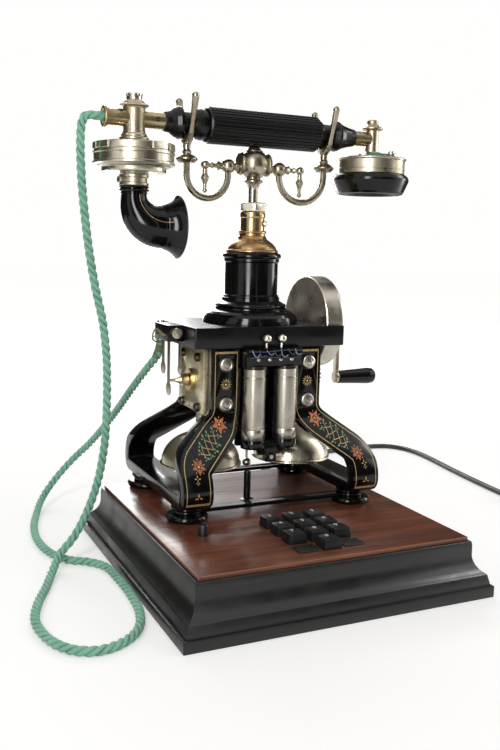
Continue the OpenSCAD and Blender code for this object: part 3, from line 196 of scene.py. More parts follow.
class Finish:
    """A material with a principled shader, built up from nodes."""

    def __init__(self, name, colour, roughness, metallic=0.0, **sockets):
        self.material = bpy.data.materials.new(name)
        self.material.use_nodes = True
        self.tree = self.material.node_tree
        self.shader = self.tree.nodes["Principled BSDF"]
        self.colour = colour
        self.put("Base Color", colour)
        self.put("Roughness", roughness)
        self.put("Metallic", metallic)
        for key, value in sockets.items():
            self.put(key.replace("_", " "), value)

    def put(self, socket, value):
        self.feed(self.shader.inputs[socket], value)

    def feed(self, socket, value):
        """Links or sets a socket; three numbers are a colour as a screen shows it."""
        if isinstance(value, bpy.types.NodeSocket):
            self.tree.links.new(value, socket)
        elif isinstance(value, tuple) and len(value) == 3:
            socket.default_value = paint(*value)
        else:
            socket.default_value = value

    def node(self, kind, **settings):
        node = self.tree.nodes.new(kind)
        for key, value in settings.items():
            setattr(node, key, value)
        return node

    def filled(self, kind, **numbers):
        """A node with numbers put into its inputs."""
        node = self.node(kind)
        for key, value in numbers.items():
            node.inputs[key.replace("_", " ")].default_value = value
        return node

    def spot(self, stretch=(1, 1, 1), source="Object"):
        """Coordinates in metres, pressed together along an axis by its stretch."""
        mapping = self.filled("ShaderNodeMapping", Scale=stretch)
        coordinates = self.node("ShaderNodeTexCoord")
        self.feed(mapping.inputs["Vector"], coordinates.outputs[source])
        return mapping.outputs["Vector"]

    def noise(self, scale, stretch=(1, 1, 1), detail=4.0, source="Object", distortion=0.0):
        noise = self.filled("ShaderNodeTexNoise", Scale=scale, Detail=detail, Distortion=distortion)
        self.feed(noise.inputs["Vector"], self.spot(stretch, source))
        return noise.outputs["Fac"]

    def spread(self, value, low_in, high_in, low_out=0.0, high_out=1.0):
        remap = self.filled("ShaderNodeMapRange", From_Min=low_in, From_Max=high_in,
                            To_Min=low_out, To_Max=high_out)
        self.feed(remap.inputs["Value"], value)
        return remap.outputs["Result"]

    def mix(self, share, first, second):
        blend = self.node("ShaderNodeMixRGB")
        for key, value in (("Fac", share), ("Color1", first), ("Color2", second)):
            self.feed(blend.inputs[key], value)
        return blend.outputs["Color"]

    def reckon(self, operation, first, second):
        sum_node = self.node("ShaderNodeMath", operation=operation)
        self.feed(sum_node.inputs[0], first)
        self.feed(sum_node.inputs[1], second)
        return sum_node.outputs[0]

    def bump(self, height, distance, strength=1.0):
        bump = self.filled("ShaderNodeBump", Strength=strength, Distance=distance * MM)
        self.feed(bump.inputs["Height"], height)
        self.put("Normal", bump.outputs["Normal"])

    def part_of(self, vector, axis):
        parts = self.node("ShaderNodeSeparateXYZ")
        self.feed(parts.inputs[0], vector)
        return parts.outputs[axis]

    def upward(self):
        """How far a face looks up, from 0 to 1."""
        geometry = self.node("ShaderNodeNewGeometry")
        return self.spread(self.part_of(geometry.outputs["Normal"], "Z"), 0.2, 1.0)


# Scales are in waves per metre: 90 gives clouds of about 11 mm, 900 gives grains of about 1 mm.


def metal(name, bright, dull, spots, roughness=0.29, brushed=None, spotted=0.66, cloud=1.0):
    """Old polished metal with cloudy tarnish, dark specks and faint scratches."""
    finish = Finish(name, bright, roughness, 1.0)
    clouds = finish.noise(70, detail=6.0)
    specks = finish.noise(330, detail=5.0)
    tone = finish.mix(finish.spread(clouds, 0.38, 0.68, 0, cloud), bright, dull)
    tone = finish.mix(finish.spread(specks, spotted, spotted + 0.09), tone, spots)
    finish.put("Base Color", tone)
    finish.put("Roughness", finish.spread(clouds, 0.3, 0.7, roughness - 0.07, roughness + 0.13))
    lines = finish.noise(1500, brushed or (1, 1, 1), detail=3.0)
    finish.bump(lines, 0.05 if brushed else 0.02, 0.5)
    return finish


def gloss(name, colour, roughness=0.14, dust=0.35, dust_colour=(0.10, 0.10, 0.10, 1)):
    """Black lacquer or polished ebonite: smooth, with fine dust where it looks up."""
    finish = Finish(name, colour, roughness, Specular_IOR_Level=0.32)
    smears = finish.noise(45, detail=5.0)
    motes = finish.noise(1300, detail=2.0)
    settled = finish.reckon("MULTIPLY", finish.upward(), finish.spread(motes, 0.56, 0.72))
    settled = finish.reckon("MULTIPLY", settled, dust)
    finish.put("Base Color", finish.mix(settled, colour, dust_colour))
    finish.put("Roughness", finish.spread(smears, 0.3, 0.7, roughness - 0.05, roughness + 0.12))
    finish.bump(finish.noise(160, detail=2.0), 0.04, 0.35)
    return finish


def moulded(name, colour, roughness, grain=2200, depth=0.02):
    """Plastic with a fine skin."""
    finish = Finish(name, colour, roughness)
    skin = finish.noise(grain, detail=2.0)
    finish.put("Roughness", finish.spread(finish.noise(60), 0.3, 0.7, roughness - 0.06, roughness + 0.08))
    finish.bump(skin, depth, 0.5)
    return finish


def painted_wood(name, colour, roughness=0.34):
    """Black stained moulding: the grain still shows as fine lines along X and Y."""
    finish = Finish(name, colour, roughness)
    grain = finish.noise(700, (0.05, 1, 1), detail=3.0)
    cross_grain = finish.noise(700, (1, 0.05, 1), detail=3.0)
    lines = finish.reckon("MAXIMUM", grain, cross_grain)
    tone = finish.mix(finish.spread(lines, 0.55, 0.8), colour, (34, 31, 29))
    dusty = finish.reckon("MULTIPLY", finish.upward(), 0.35)
    finish.put("Base Color", finish.mix(dusty, tone, (46, 46, 48)))
    finish.put("Roughness", finish.spread(finish.noise(50), 0.3, 0.7, roughness - 0.07, roughness + 0.1))
    finish.bump(lines, 0.06, 0.4)
    return finish


def veneer(name, pale_edges=False):
    """Red-brown wood with its grain along X, under varnish; paler with pale_edges, for its bevelled edges."""
    finish = Finish(name, (112, 58, 38), 0.34, Coat_Weight=0.2, Coat_Roughness=0.15)
    figure = finish.noise(34, (0.16, 1, 1), detail=5.0, distortion=1.2)
    streaks = finish.noise(210, (0.05, 1, 1), detail=5.0, distortion=0.5)
    pores = finish.noise(1500, (0.035, 1, 1), detail=2.0)
    tone = finish.mix(finish.spread(figure, 0.32, 0.68), (84, 41, 28), (136, 77, 50))
    tone = finish.mix(finish.spread(streaks, 0.5, 0.72, 0, 0.85), tone, (54, 28, 20))
    tone = finish.mix(finish.spread(pores, 0.58, 0.75, 0, 0.8), tone, (34, 17, 13))
    # Paler all over, for the bevelled edges.
    if pale_edges:
        tone = finish.mix(0.55, tone, (190, 132, 92))
    finish.put("Base Color", tone)
    finish.put("Roughness", finish.spread(streaks, 0.3, 0.7, 0.26, 0.42))
    finish.bump(pores, 0.05, 0.35)
    return finish


def cotton(name, colour, shade, thread_highlight):
    """Plaited cotton: the crests are pale and the grooves between the strands are painted dark as painted
    shade; pale flecks on the threads are painted highlights.
    """
    finish = Finish(name, colour, 0.85, Sheen_Weight=0.3, Sheen_Roughness=0.5)
    crest = finish.node("ShaderNodeAttribute", attribute_name="crest").outputs["Fac"]
    threads = finish.noise(60, (1, 9, 1), detail=3.0, source="UV")
    # Painted shade: where the crest measure is low, between the strands, the colour goes to the shade colour.
    tone = finish.mix(finish.spread(crest, 0.1, 0.75), shade, colour)
    # Painted highlights: pale flecks along the threads, in the highlight colour.
    tone = finish.mix(finish.spread(threads, 0.5, 0.72, 0, 0.6), tone, thread_highlight)
    # Darker patches at random, in the same dark green.
    tone = finish.mix(finish.spread(finish.noise(22), 0.45, 0.75, 0, 0.35), tone, shade)
    finish.put("Base Color", tone)
    finish.bump(threads, 0.25, 0.8)
    return finish


def wound(name, colour, shade, roughness, metallic, scale, distortion, depth):
    """Wire or thread wound in level turns that follow each other along Z, painted darker between the turns as a
    painted shade.
    """
    finish = Finish(name, colour, roughness, metallic)
    turns = finish.filled("ShaderNodeTexWave", Scale=scale, Distortion=distortion)
    turns.bands_direction = "Z"
    finish.feed(turns.inputs["Vector"], finish.spot())
    # Painted shade: the troughs of the bands, between the turns, take the shade colour.
    finish.put("Base Color", finish.mix(turns.outputs["Fac"], shade, colour))
    finish.bump(turns.outputs["Fac"], depth)
    return finish


def armature_metal():
    """Iron core with a brass contact nose past the left end plate."""
    finish = metal("armature_metal", (150, 145, 135), (96, 90, 82), (50, 42, 34), 0.35)
    iron = finish.shader.inputs["Base Color"].links[0].from_socket
    coordinates = finish.node("ShaderNodeTexCoord")
    nose = finish.spread(finish.part_of(coordinates.outputs["Object"], "X"), -0.0475, -0.0470)
    finish.put("Base Color", finish.mix(nose, (206, 190, 150), iron))
    return finish


def make_finishes():
    """All materials, by the short names that the pieces use for them."""
    made = {
        "nickel": metal("worn_nickel", (199, 193, 177), (162, 153, 131), (90, 77, 55)),
        "nut_nickel": metal("nut_nickel", (184, 180, 171), (142, 137, 126), (72, 65, 54), 0.3),
        "bright_nut": metal("bright_nut_nickel", (227, 223, 210), (202, 196, 176), (118, 102, 74), 0.2),
        "cradle_nickel": metal("cradle_nickel", (168, 160, 142), (126, 116, 92), (72, 60, 40), 0.27,
                               spotted=0.62),
        "tube_nickel": metal("brassy_nickel", (184, 171, 139), (147, 130, 94), (73, 58, 38), 0.27,
                             spotted=0.6),
        "barrel_nickel": metal("barrel_nickel", (192, 182, 164), (164, 151, 125), (89, 74, 52), 0.3,
                               (1, 1, 0.1)),
        "drum_nickel": metal("drum_nickel", (198, 192, 180), (180, 172, 156), (120, 108, 88), 0.3,
                             (4, 1, 1), 0.7, 0.5),
        "coil_nickel": metal("satin_nickel", (168, 162, 152), (146, 139, 126), (123, 112, 93), 0.27,
                             (1, 1, 0.08), 0.72, 0.5),
        "plate_nickel": metal("cream_nickel", (210, 200, 171), (180, 167, 132), (107, 87, 56), 0.36,
                              spotted=0.6),
        "gong_nickel": metal("bright_nickel", (196, 189, 171), (169, 158, 133), (108, 90, 63), 0.28,
                             cloud=0.7),
        "steel": metal("dull_steel", (150, 148, 142), (104, 100, 94), (60, 52, 44), 0.34),
        "brass": metal("brass", (208, 190, 146), (170, 148, 100), (84, 64, 38), 0.25),
        "dome_brass": metal("copper_brass", (196, 164, 120), (152, 116, 78), (88, 58, 38), 0.24),
        "sleeve_brass": metal("sleeve_brass", (202, 184, 142), (160, 136, 92), (88, 66, 40), 0.2),
        "iron": metal("dark_iron", (52, 51, 50), (34, 32, 30), (24, 20, 17), 0.42),
        "armature": armature_metal(),
        "lacquer": gloss("black_lacquer", (9, 9, 10), 0.12),
        "plate_lacquer": gloss("table_lacquer", (13, 13, 15), 0.28, 0.5),
        "ebonite": gloss("ebonite", (9, 9, 10), 0.2, 0.15),
        "horn": gloss("horn_ebonite", (8, 8, 12), 0.1, 0.1),
        "moulding": painted_wood("stained_moulding", (17, 16, 16)),
        # A lighter colour for the moulding's bevelled edges.
        "moulding_edge": painted_wood("pale_edge_moulding", (40, 36, 33), 0.3),
        "wood": veneer("mahogany_veneer"),
        "wood_edge": veneer("pale_edge_veneer", pale_edges=True),
        "cover": moulded("cover_black", (27, 27, 28), 0.55),
        "board": moulded("board_green", (44, 74, 53), 0.45),
        "key": moulded("key_black", (21, 22, 25), 0.36),
        "digit": moulded("digit_white", (226, 226, 220), 0.6),
        "gold": Finish("gold_line", (206, 178, 122), 0.4, 0.4),
        "orange": Finish("orange_flower", (204, 118, 66), 0.45),
        "rust": Finish("rust_flower", (168, 88, 46), 0.45),
        "green": Finish("green_leaf", (122, 158, 110), 0.45),
        "cream": Finish("cream_dot", (226, 208, 150), 0.45),
        "grey_cord": moulded("grey_cord", (52, 52, 55), 0.42, 500, 0.05),
        "relief": moulded("relief_rubber", (38, 38, 42), 0.5),
        # Mint cotton, the dark green of its painted groove shade and the pale green of its painted highlights.
        "cotton": cotton("green_cotton", (138, 206, 174), (38, 108, 82), (208, 238, 222)),
        "green_silk": Finish("green_silk", (84, 132, 100), 0.7),
        "olive_silk": Finish("olive_silk", (138, 142, 104), 0.7),
        # Green thread with painted shade between its turns.
        "whipping": wound("bound_thread", (142, 158, 118), (66, 84, 54), 0.8, 0, 420, 1.5, 0.2),
        "blue_wire": Finish("blue_silk", (50, 62, 84), 0.5),
        "pale_wire": Finish("pale_silk", (128, 142, 158), 0.35),
        "dark_steel": metal("dark_steel", (92, 86, 76), (58, 52, 44), (30, 26, 22), 0.32),
        # Copper wire with painted shade between its turns.
        "copper": wound("wound_copper", (150, 84, 50), (70, 34, 20), 0.35, 0.6, 900, 0, 0.15),
        "plug": Finish("clear_plug", (206, 204, 196), 0.12, Transmission_Weight=0.55, IOR=1.49),
    }
    for key in ("gold", "orange", "rust", "green", "cream", "blue_wire"):
        finish = made[key]
        flaking = finish.noise(700, detail=4.0)
        worn_off = finish.spread(flaking, 0.56, 0.7, 0, 0.75)
        finish.put("Base Color", finish.mix(worn_off, finish.colour, (60, 44, 26)))
        finish.bump(flaking, 0.02, 0.5)
    return made


# ---- dressing the frame's pieces ----

def wear(piece, finish, *more):
    piece.data.materials.clear()
    for each in (finish, *more):
        piece.data.materials.append(FINISHES[each].material)


def dress(node, finish, edge=0.25, edge_finish=None, name=None, angle=32):
    """A smooth copy of a node with its sharp edges broken, in the node's place."""
    source = frame["nodes"][node]
    piece = source.copy()
    piece.data = source.data.copy()
    piece.name = name or node + "_piece"
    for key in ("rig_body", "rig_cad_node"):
        del piece[key]
    bpy.context.scene.collection.objects.link(piece)
    piece.parent = None
    edit_all(piece)
    bpy.ops.mesh.customdata_custom_splitnormals_clear()
    bpy.ops.mesh.remove_doubles(threshold=2e-6)
    bpy.ops.mesh.dissolve_limited(angle_limit=math.radians(0.6))
    deselect()
    wear(piece, finish, *([edge_finish] if edge_finish else []))
    if edge:
        settings = {"width": edge * MM, "segments": 2, "limit_method": "ANGLE",
                    "angle_limit": math.radians(angle), "use_clamp_overlap": True}
        if edge_finish:
            settings["material"] = 1
        apply_modifier(piece, "BEVEL", **settings)
    finish_piece(piece, record_body(node), angle)
    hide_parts(node)
    return piece


def coat(node, finish):
    """A new finish on a node whose own shape is right."""
    own = frame["nodes"][node]
    for place_in in own.material_slots:
        place_in.material = FINISHES[finish].material


def record_body(node):
    return frame["nodes"][node]["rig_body"]


def finish_piece(piece, body, angle=32):
    """Smooths a piece by angle, then lets it ride on its body."""
    take(piece)
    bpy.ops.object.shade_smooth_by_angle(angle=math.radians(angle))
    if body:
        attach(piece, body)
    return piece


def settle(piece, node, finish, angle=32, instead=False):
    """Gives a piece its finish, and the body of a node that it may stand in for."""
    wear(piece, finish)
    finish_piece(piece, record_body(node), angle)
    if instead:
        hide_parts(node)
    return piece


# ---- shaping new pieces ----

def shifted(points, out=0.0, up=0.0):
    """A profile's points, moved out from the axis and along it."""
    return [(out + radius, up + height) for radius, height in points]


def turned(name, profile, centre, axis="Z", steps=96):
    """Spins a profile of (radius, height) points about an axis through centre, all in millimetres."""
    deselect()
    bpy.ops.mesh.primitive_plane_add(size=MM)
    piece = bpy.context.object
    piece.name = name
    bpy.ops.object.mode_set(mode="EDIT")
    bpy.ops.mesh.select_mode(type="VERT")
    bpy.ops.mesh.select_all(action="SELECT")
    bpy.ops.mesh.merge(type="CENTER")
    here = Vector((0, 0, 0))
    for number, (radius, height) in enumerate(profile):
        there = Vector((radius, 0, height)) * MM
        if number == 0:
            bpy.ops.transform.translate(value=there)
        else:
            bpy.ops.mesh.extrude_region_move(TRANSFORM_OT_translate={"value": there - here})
        here = there
    bpy.ops.mesh.select_all(action="SELECT")
    bpy.ops.mesh.spin(steps=steps, angle=math.tau, center=(0, 0, 0), axis=(0, 0, 1))
    weld(piece, 1e-6)
    if axis == "X":
        piece.rotation_euler = (0, math.radians(90), 0)
    elif axis == "Y":
        piece.rotation_euler = (math.radians(-90), 0, 0)
    piece.location = Vector(centre) * MM
    place(piece)
    return piece


def turned_to(piece, degrees, centre):
    """Turns a piece about Z and moves it from the origin to its centre."""
    piece.matrix_world = (Matrix.Translation(Vector(centre) * MM)
                          @ Matrix.Rotation(math.radians(degrees), 4, "Z"))
    place(piece)
    return piece


def clear_curve(name):
    """A new curve object without any spline."""
    deselect()
    bpy.ops.curve.primitive_bezier_curve_add()
    piece = bpy.context.object
    piece.name = name
    piece.data.splines.clear()
    return piece


def wire(name, points, radii, around=8, along=8):
    """A round bar or wire on a smooth curve through points; its ends are closed."""
    piece = clear_curve(name)
    curve = piece.data
    spline = curve.splines.new("BEZIER")
    spline.bezier_points.add(len(points) - 1)
    radii = radii if hasattr(radii, "__len__") else [radii] * len(points)
    for knot, point, radius in zip(spline.bezier_points, points, radii):
        knot.co = Vector(point) * MM
        knot.handle_left_type = knot.handle_right_type = "AUTO"
        knot.radius = radius
    curve.dimensions = "3D"
    curve.bevel_depth = MM
    curve.bevel_resolution = around
    curve.resolution_u = along
    curve.use_fill_caps = True
    take(piece)
    bpy.ops.object.convert(target="MESH")
    place(piece)
    weld(piece, 1e-7)
    return piece


def joined(name, pieces):
    """Makes several pieces one."""
    deselect()
    for piece in pieces:
        piece.select_set(True)
    bpy.context.view_layer.objects.active = pieces[0]
    if len(pieces) > 1:
        bpy.ops.object.join()
    pieces[0].name = name
    pieces[0].data.name = name
    return pieces[0]


# ---- plinth and keypad ----

def plinth():
    dress("plinth_rails", "moulding", 0.35, "moulding_edge")
    dress("top_panel", "wood", 0.45, "wood_edge")
    dress("bottom_cover", "cover", 0.2)
    dress("cover_screws", "steel", 0.15)
    dress("keypad_board", "board", 0.15)
    dress("blank_keys", "key", 0.25)
    dress("recall_button", "key", 0.2)
    for number in range(10):
        dress(f"key_{number}", "key", 0.7)
        digit_mark(number)


DIGIT_SIZE = 5.0
DIGIT_IN = 3.4  # from the rear edge of a key's top to the middle of its digit


def digit_mark(number):
    """A small moulded digit near the rear of a key's top."""
    key = f"key_{number}"
    key_low, key_high = low(key), high(key)
    deselect()
    bpy.ops.object.text_add()
    mark = bpy.context.object
    mark.name = f"digit_{number}"
    mark.data.body = str(number)
    mark.data.size = DIGIT_SIZE * MM
    mark.data.align_x, mark.data.align_y = "CENTER", "CENTER"
    mark.data.extrude = 0.06 * MM
    mark.data.offset = 0.05 * MM
    mark.data.resolution_u = 3
    bpy.ops.object.convert(target="MESH")
    centre = (key_low + key_high) / 2
    mark.location = Vector((centre.x, key_high.y - DIGIT_IN, key_high.z + 0.02)) * MM
    place(mark)
    weld(mark, 1e-6)
    settle(mark, key, "digit")


# ---- magnets and their painted ornament ----

BORDER_IN = 2.3     # from the bar's edge to the middle of the gold line
BORDER_W = 0.5
PAINT_LIFT = 0.06   # how far the paint stands off the lacquer
LEG_STEP = 1.5      # between the heights at which a leg's edges are read


def leg_edges(node, front):
    """The left and right edges (x, z) of a magnet's leg, from its heel to its top."""
    mesh = frame["nodes"][node].data
    mesh.calc_loop_triangles()
    corners = [v.co / MM for v in mesh.vertices]
    sides = set()
    for triangle in mesh.loop_triangles:
        a, b, c = triangle.vertices
        for pair in ((a, b), (b, c), (c, a)):
            first, second = corners[pair[0]], corners[pair[1]]
            if ((first.y + second.y) / 2 < PHONE_Y) == front:
                sides.add((min(pair), max(pair)))
    bottom, top = low(node).z + 4.2, high(node).z - 3.0
    count = int((top - bottom) / LEG_STEP)
    left, right = [], []
    for i in range(count + 1):
        z = bottom + (top - bottom) * i / count
        crossings = []
        for a, b in sides:
            first, second = corners[a], corners[b]
            if (first.z - z) * (second.z - z) < 0:
                share = (z - first.z) / (second.z - first.z)
                crossings.append(first.x + share * (second.x - first.x))
        left.append(Vector((min(crossings), z)))
        right.append(Vector((max(crossings), z)))
    return left, right


def beside(edge, aside):
    """A line beside an edge, at a distance to its right when aside is positive."""
    line = []
    for i, point in enumerate(edge):
        heading = (edge[min(len(edge) - 1, i + 2)] - edge[max(0, i - 2)]).normalized()
        line.append(point + Vector((heading.y, -heading.x)) * aside)
    return line


class Leg:
    """Places on a leg's face, by height and by distance from its middle line."""

    def __init__(self, node, front):
        self.left, self.right = leg_edges(node, front)
        width = self.right[-1].x - self.left[-1].x
        first, second = beside(self.left, width / 2), beside(self.right, -width / 2)
        self.line = [(p + q) / 2 for p, q in zip(first, second)]
        self.line = [p for p in self.line if self.left[0].y <= p.y <= self.left[-1].y]

    def up(self, share):
        """A height as a share of the leg's painted length."""
        return self.left[0].y + (self.left[-1].y - self.left[0].y) * share

    def at(self, z, aside=0.0):
        i = min(range(1, len(self.line) - 2), key=lambda k: abs(self.line[k].y - z))
        heading = (self.line[i + 1] - self.line[i - 1]).normalized()
        point = self.line[i] + heading * ((z - self.line[i].y) * heading.y)
        return point + Vector((heading.y, -heading.x)) * aside

    def lean(self, z):
        """The middle line's direction at a height, as an angle from the level."""
        i = min(range(1, len(self.line) - 2), key=lambda k: abs(self.line[k].y - z))
        heading = (self.line[i + 1] - self.line[i - 1]).normalized()
        return math.atan2(heading.y, heading.x)

    def border(self, inset):
        """A closed outline that keeps its distance from both edges and both ends."""
        up, down = beside(self.left, inset), list(reversed(beside(self.right, -inset)))
        low_z, high_z = self.left[0].y + inset - BORDER_IN, self.left[-1].y - inset + BORDER_IN
        return [p for p in up + down if low_z <= p.y <= high_z]


def ray(angle):
    return Vector((math.cos(angle), math.sin(angle)))


def petal_ring(centre, count, inner, outer, width, turn=0.0):
    """Pointed petals round a centre, each as a closed outline of (x, z) points."""
    petals = []
    for i in range(count):
        along = ray(turn + math.tau * i / count)
        across = Vector((-along.y, along.x))
        widest = inner + (outer - inner) * 0.45
        petals.append([centre + along * inner, centre + along * widest + across * width,
                       centre + along * outer, centre + along * widest - across * width])
    return petals


def dot(centre, radius, sides=12):
    return [centre + ray(math.tau * i / sides) * radius for i in range(sides)]


def stroke(start, end, width):
    across = (end - start).normalized()
    across = Vector((-across.y, across.x)) * width / 2
    return [start + across, end + across, end - across, start - across]


def ornament_outlines(leg):
    """Closed outlines for one leg, each list with its paint, in the order they are laid on."""
    gold = [leg.border(BORDER_IN - BORDER_W / 2), leg.border(BORDER_IN + BORDER_W / 2)]
    orange, rust, green, cream, lattice = [], [], [], [], []
    star = leg.at(leg.up(0.765))
    gold += petal_ring(star, 12, 1.3, 4.3, 0.42)
    cream.append(dot(star, 0.75))
    for share, size, blooms in ((0.485, 6.0, orange), (0.255, 5.0, rust)):
        spot, lean = leg.at(leg.up(share)), leg.lean(leg.up(share))
        blooms.extend(petal_ring(spot, 5, 0.7, size, 1.25, lean))
        blooms.extend(petal_ring(spot, 5, 1.6, size * 0.62, 0.8, lean + math.pi / 5))
        gold += petal_ring(spot, 5, 1.4, size * 0.8, 0.24, lean)
        gold += petal_ring(spot, 5, size * 0.68, size * 0.95, 0.3, lean + math.pi / 5)
        cream.append(dot(spot, 0.65))
    low_z, high_z, rows = leg.up(0.305), leg.up(0.43), 4
    rise = (high_z - low_z) / rows
    reaches = [2.1 + 2.6 * math.sin(math.pi * i / rows) for i in range(rows + 1)]
    for i, reach in enumerate(reaches):
        z = low_z + rise * i
        lean = leg.lean(z)
        for side in (-1, 1):
            here = leg.at(z, side * reach)
            green += petal_ring(here + ray(lean) * 0.4, 1, 0.2, 2.9, 0.7, lean - side * 1.0)
            green += petal_ring(here, 2, 0.3, 1.7, 0.5, lean + side * 0.6)
            if i < rows:
                there = leg.at(z + rise, -side * reaches[i + 1] * 0.8)
                lattice.append(stroke(leg.at(z, side * reach * 0.8), there, 0.34))
    for share, size in ((0.185, 2.4), (0.158, 1.4)):
        gold += petal_ring(leg.at(leg.up(share)), 4, 0.4, size, 0.42, leg.lean(leg.up(share)))
    foot = leg.at(leg.up(0.06))
    for turn in (math.pi / 2, math.pi * 1.08, -math.pi * 0.08):
        gold += petal_ring(foot, 1, 0.5, 3.0, 0.5, turn)
        rust += petal_ring(foot, 1, 0.2, 1.3, 0.5, turn + 0.5)
    # Strokes that cross would cancel each other's filling, so each is a layer of its own.
    crossing = [("gold", [line]) for line in lattice]
    return [("green", green), *crossing, ("orange", orange), ("rust", rust), ("gold", gold), ("cream", cream)]


def flat_paint(name, outlines, paint_name, y):
    """Closed outlines filled as flat shapes that stand in front of a leg, at depth y."""
    shape = clear_curve(name)
    curve = shape.data
    curve.dimensions = "2D"
    curve.fill_mode = "BOTH"
    for outline in outlines:
        spline = curve.splines.new("POLY")
        spline.points.add(len(outline) - 1)
        for knot, point in zip(spline.points, outline):
            knot.co = (point.x * MM, point.y * MM, 0, 1)
        spline.use_cyclic_u = True
    take(shape)
    bpy.ops.object.convert(target="MESH")
    shape.rotation_euler = (math.radians(90), 0, 0)
    shape.location = (0, y * MM, 0)
    place(shape)
    wear(shape, paint_name)
    return shape


def ornament(node, magnet, front):
    """Gold lines, flowers and a lattice painted on one leg of a magnet."""
    y = low(node).y - 5 if front else high(node).y + 5
    shapes = [flat_paint(f"{node}_paint", outlines, each, y)
              for each, outlines in ornament_outlines(Leg(node, front))]
    for depth, shape in enumerate(shapes):
        edit_all(shape)
        bpy.ops.mesh.remove_doubles(threshold=1e-6)
        bpy.ops.mesh.subdivide(number_cuts=1)
        deselect()
        apply_modifier(shape, "SHRINKWRAP", target=magnet, wrap_method="PROJECT",
                       use_project_y=True, use_project_x=False, use_project_z=False,
                       use_negative_direction=not front, use_positive_direction=front,
                       wrap_mode="ABOVE_SURFACE", offset=(PAINT_LIFT + 0.012 * min(depth, 3)) * MM)
    piece = joined(f"{node}_{'front' if front else 'rear'}_ornament", shapes)
    edit_faces(piece, lambda face: (face.normal.y > 0) == front)
    bpy.ops.mesh.flip_normals()
    deselect()
    apply_modifier(piece, "SOLIDIFY", thickness=PAINT_LIFT * 1.5 * MM, offset=-1)
    finish_piece(piece, "root")


NUT_R = 5.5
NUT_PROFILE = [
    (0, 0), (1.2, 0.05), (2.1, 0.35), (2.4, 0.9), (2.7, 1.0), (3.1, 0.75), (4.2, 0.95),
    (5.0, 1.5), (5.4, 2.2), (NUT_R, 3.4), (2.3, 3.4), (2.3, 14.3), (0, 14.3),
]


def magnet_nuts():
    """Eight round nuts with a groove round a raised middle, on their bolts."""
    nuts_low, nuts_high = low("magnet_nuts"), high("magnet_nuts")
    leg_x = nuts_high.x - NUT_R
    made = []
    for side in (-1, 1):
        for level in (nuts_low.z + NUT_R, nuts_high.z - NUT_R):
            for inward, face in ((1, nuts_low.y), (-1, nuts_high.y)):
                profile = [(r, inward * h) for r, h in NUT_PROFILE]
                made.append(turned("magnet_nut", profile, (side * leg_x, face, level), "Y", 40))
    settle(joined("magnet_nuts_piece", made), "magnet_nuts", "nut_nickel", 40, True)


def magnets():
    for node in ("left_magnet", "right_magnet"):
        magnet = dress(node, "lacquer", 0.6)
        for front in (True, False):
            ornament(node, magnet, front)
    magnet_nuts()
    coat("feet", "lacquer")
    dress("tie_bars", "lacquer", 0.25)


# ---- cords ----

CORD_STEP = 0.9
CORD_D, LINE_D = 6.0, 5.0
STRANDS, LAY = 3, 17.0  # LAY is the way along for one full turn of the strands

HANDSET_ROUTE = [
    (-110.2, 44.5, 306.5), (-114, 44.5, 306.5), (-118.8, 44.5, 306.5), (-121.4, 44.5, 306.3),
    (-123.6, 44.5, 304.4), (-125.2, 44.5, 299.5), (-125.8, 44.5, 291), (-125.8, 44.5, 280),
    (-125, 44.5, 262), (-123, 44.5, 240), (-120, 44.5, 216), (-115.8, 44.5, 192),
    (-111, 44.5, 170), (-108.5, 44.5, 147), (-108, 44.5, 125), (-108.5, 44.5, 104),
    (-110, 44.5, 83), (-114.5, 44.5, 59), (-122, 44, 38), (-132, 42, 21), (-143, 38, 10.5),
    (-152, 22, 4.5), (-160, 2, 3), (-170, -22, 3), (-176, -46, 3), (-174, -70, 3),
    (-166, -87, 3), (-153, -95, 3), (-138, -92, 3), (-124, -79, 3), (-116, -58, 3),
    (-113, -30, 3), (-113, -2, 3), (-115, 22, 3), (-124, 36, 3), (-136, 45, 3), (-145, 64, 3),
    (-148, 92, 3), (-145, 122, 3), (-138, 150, 4), (-128, 175, 10), (-114, 190, 21),
    (-99, 192, 36), (-87, 176, 54), (-80, 152, 74), (-76.5, 124, 94), (-74, 98, 113),
    (-70, 77, 130), (-65.8, 64, 142), (-64.3, 60.8, 149), (-64, 60, 152), (-64, 60, 155.1),
]
RELIEF_ROUTE = [(80, 90.5, 12), (80, 103.9, 12), (80, 114.9, 12), (80, 125.9, 10.4), (80, 138.9, 8)]
LINE_ROUTE = [
    (80, 112.9, 12), (80, 120, 11.4), (80, 125.9, 10.4), (80, 138.9, 8), (80, 150, 6),
    (79, 163, 3.5), (80, 180, 2.5), (85, 197, 2.5), (95, 213, 2.5), (110, 228, 2.5),
    (130, 242, 2.5), (155, 254, 2.5), (180, 262, 2.5), (205, 267, 2.5), (230, 270, 2.5),
    (250, 271, 2.5), (267, 270, 2.5), (281, 264, 2.5), (290, 250, 2.5), (293, 232, 2.5),
    (292, 210, 2.5), (288.5, 185, 2.5), (284.5, 160, 2.5), (281, 135, 2.5), (278, 110, 2.5),
    (275.5, 85, 2.5), (273.6, 62, 2.5), (273, 46, 2.5),
]
COIL_MIDDLE = (306, 36)
COIL_TURNS = [(33, 2.5), (28, 2.5), (23, 2.5), (23, 7.5), (28, 7.5), (33, 7.5), (33, 12.5), (28, 12.5)]
PLUG_REAR = (278, 42.5, 18.3)


def clamped(value):
    return min(1.0, max(0.0, value))


def eased(share):
    return share * share * (3 - 2 * share)


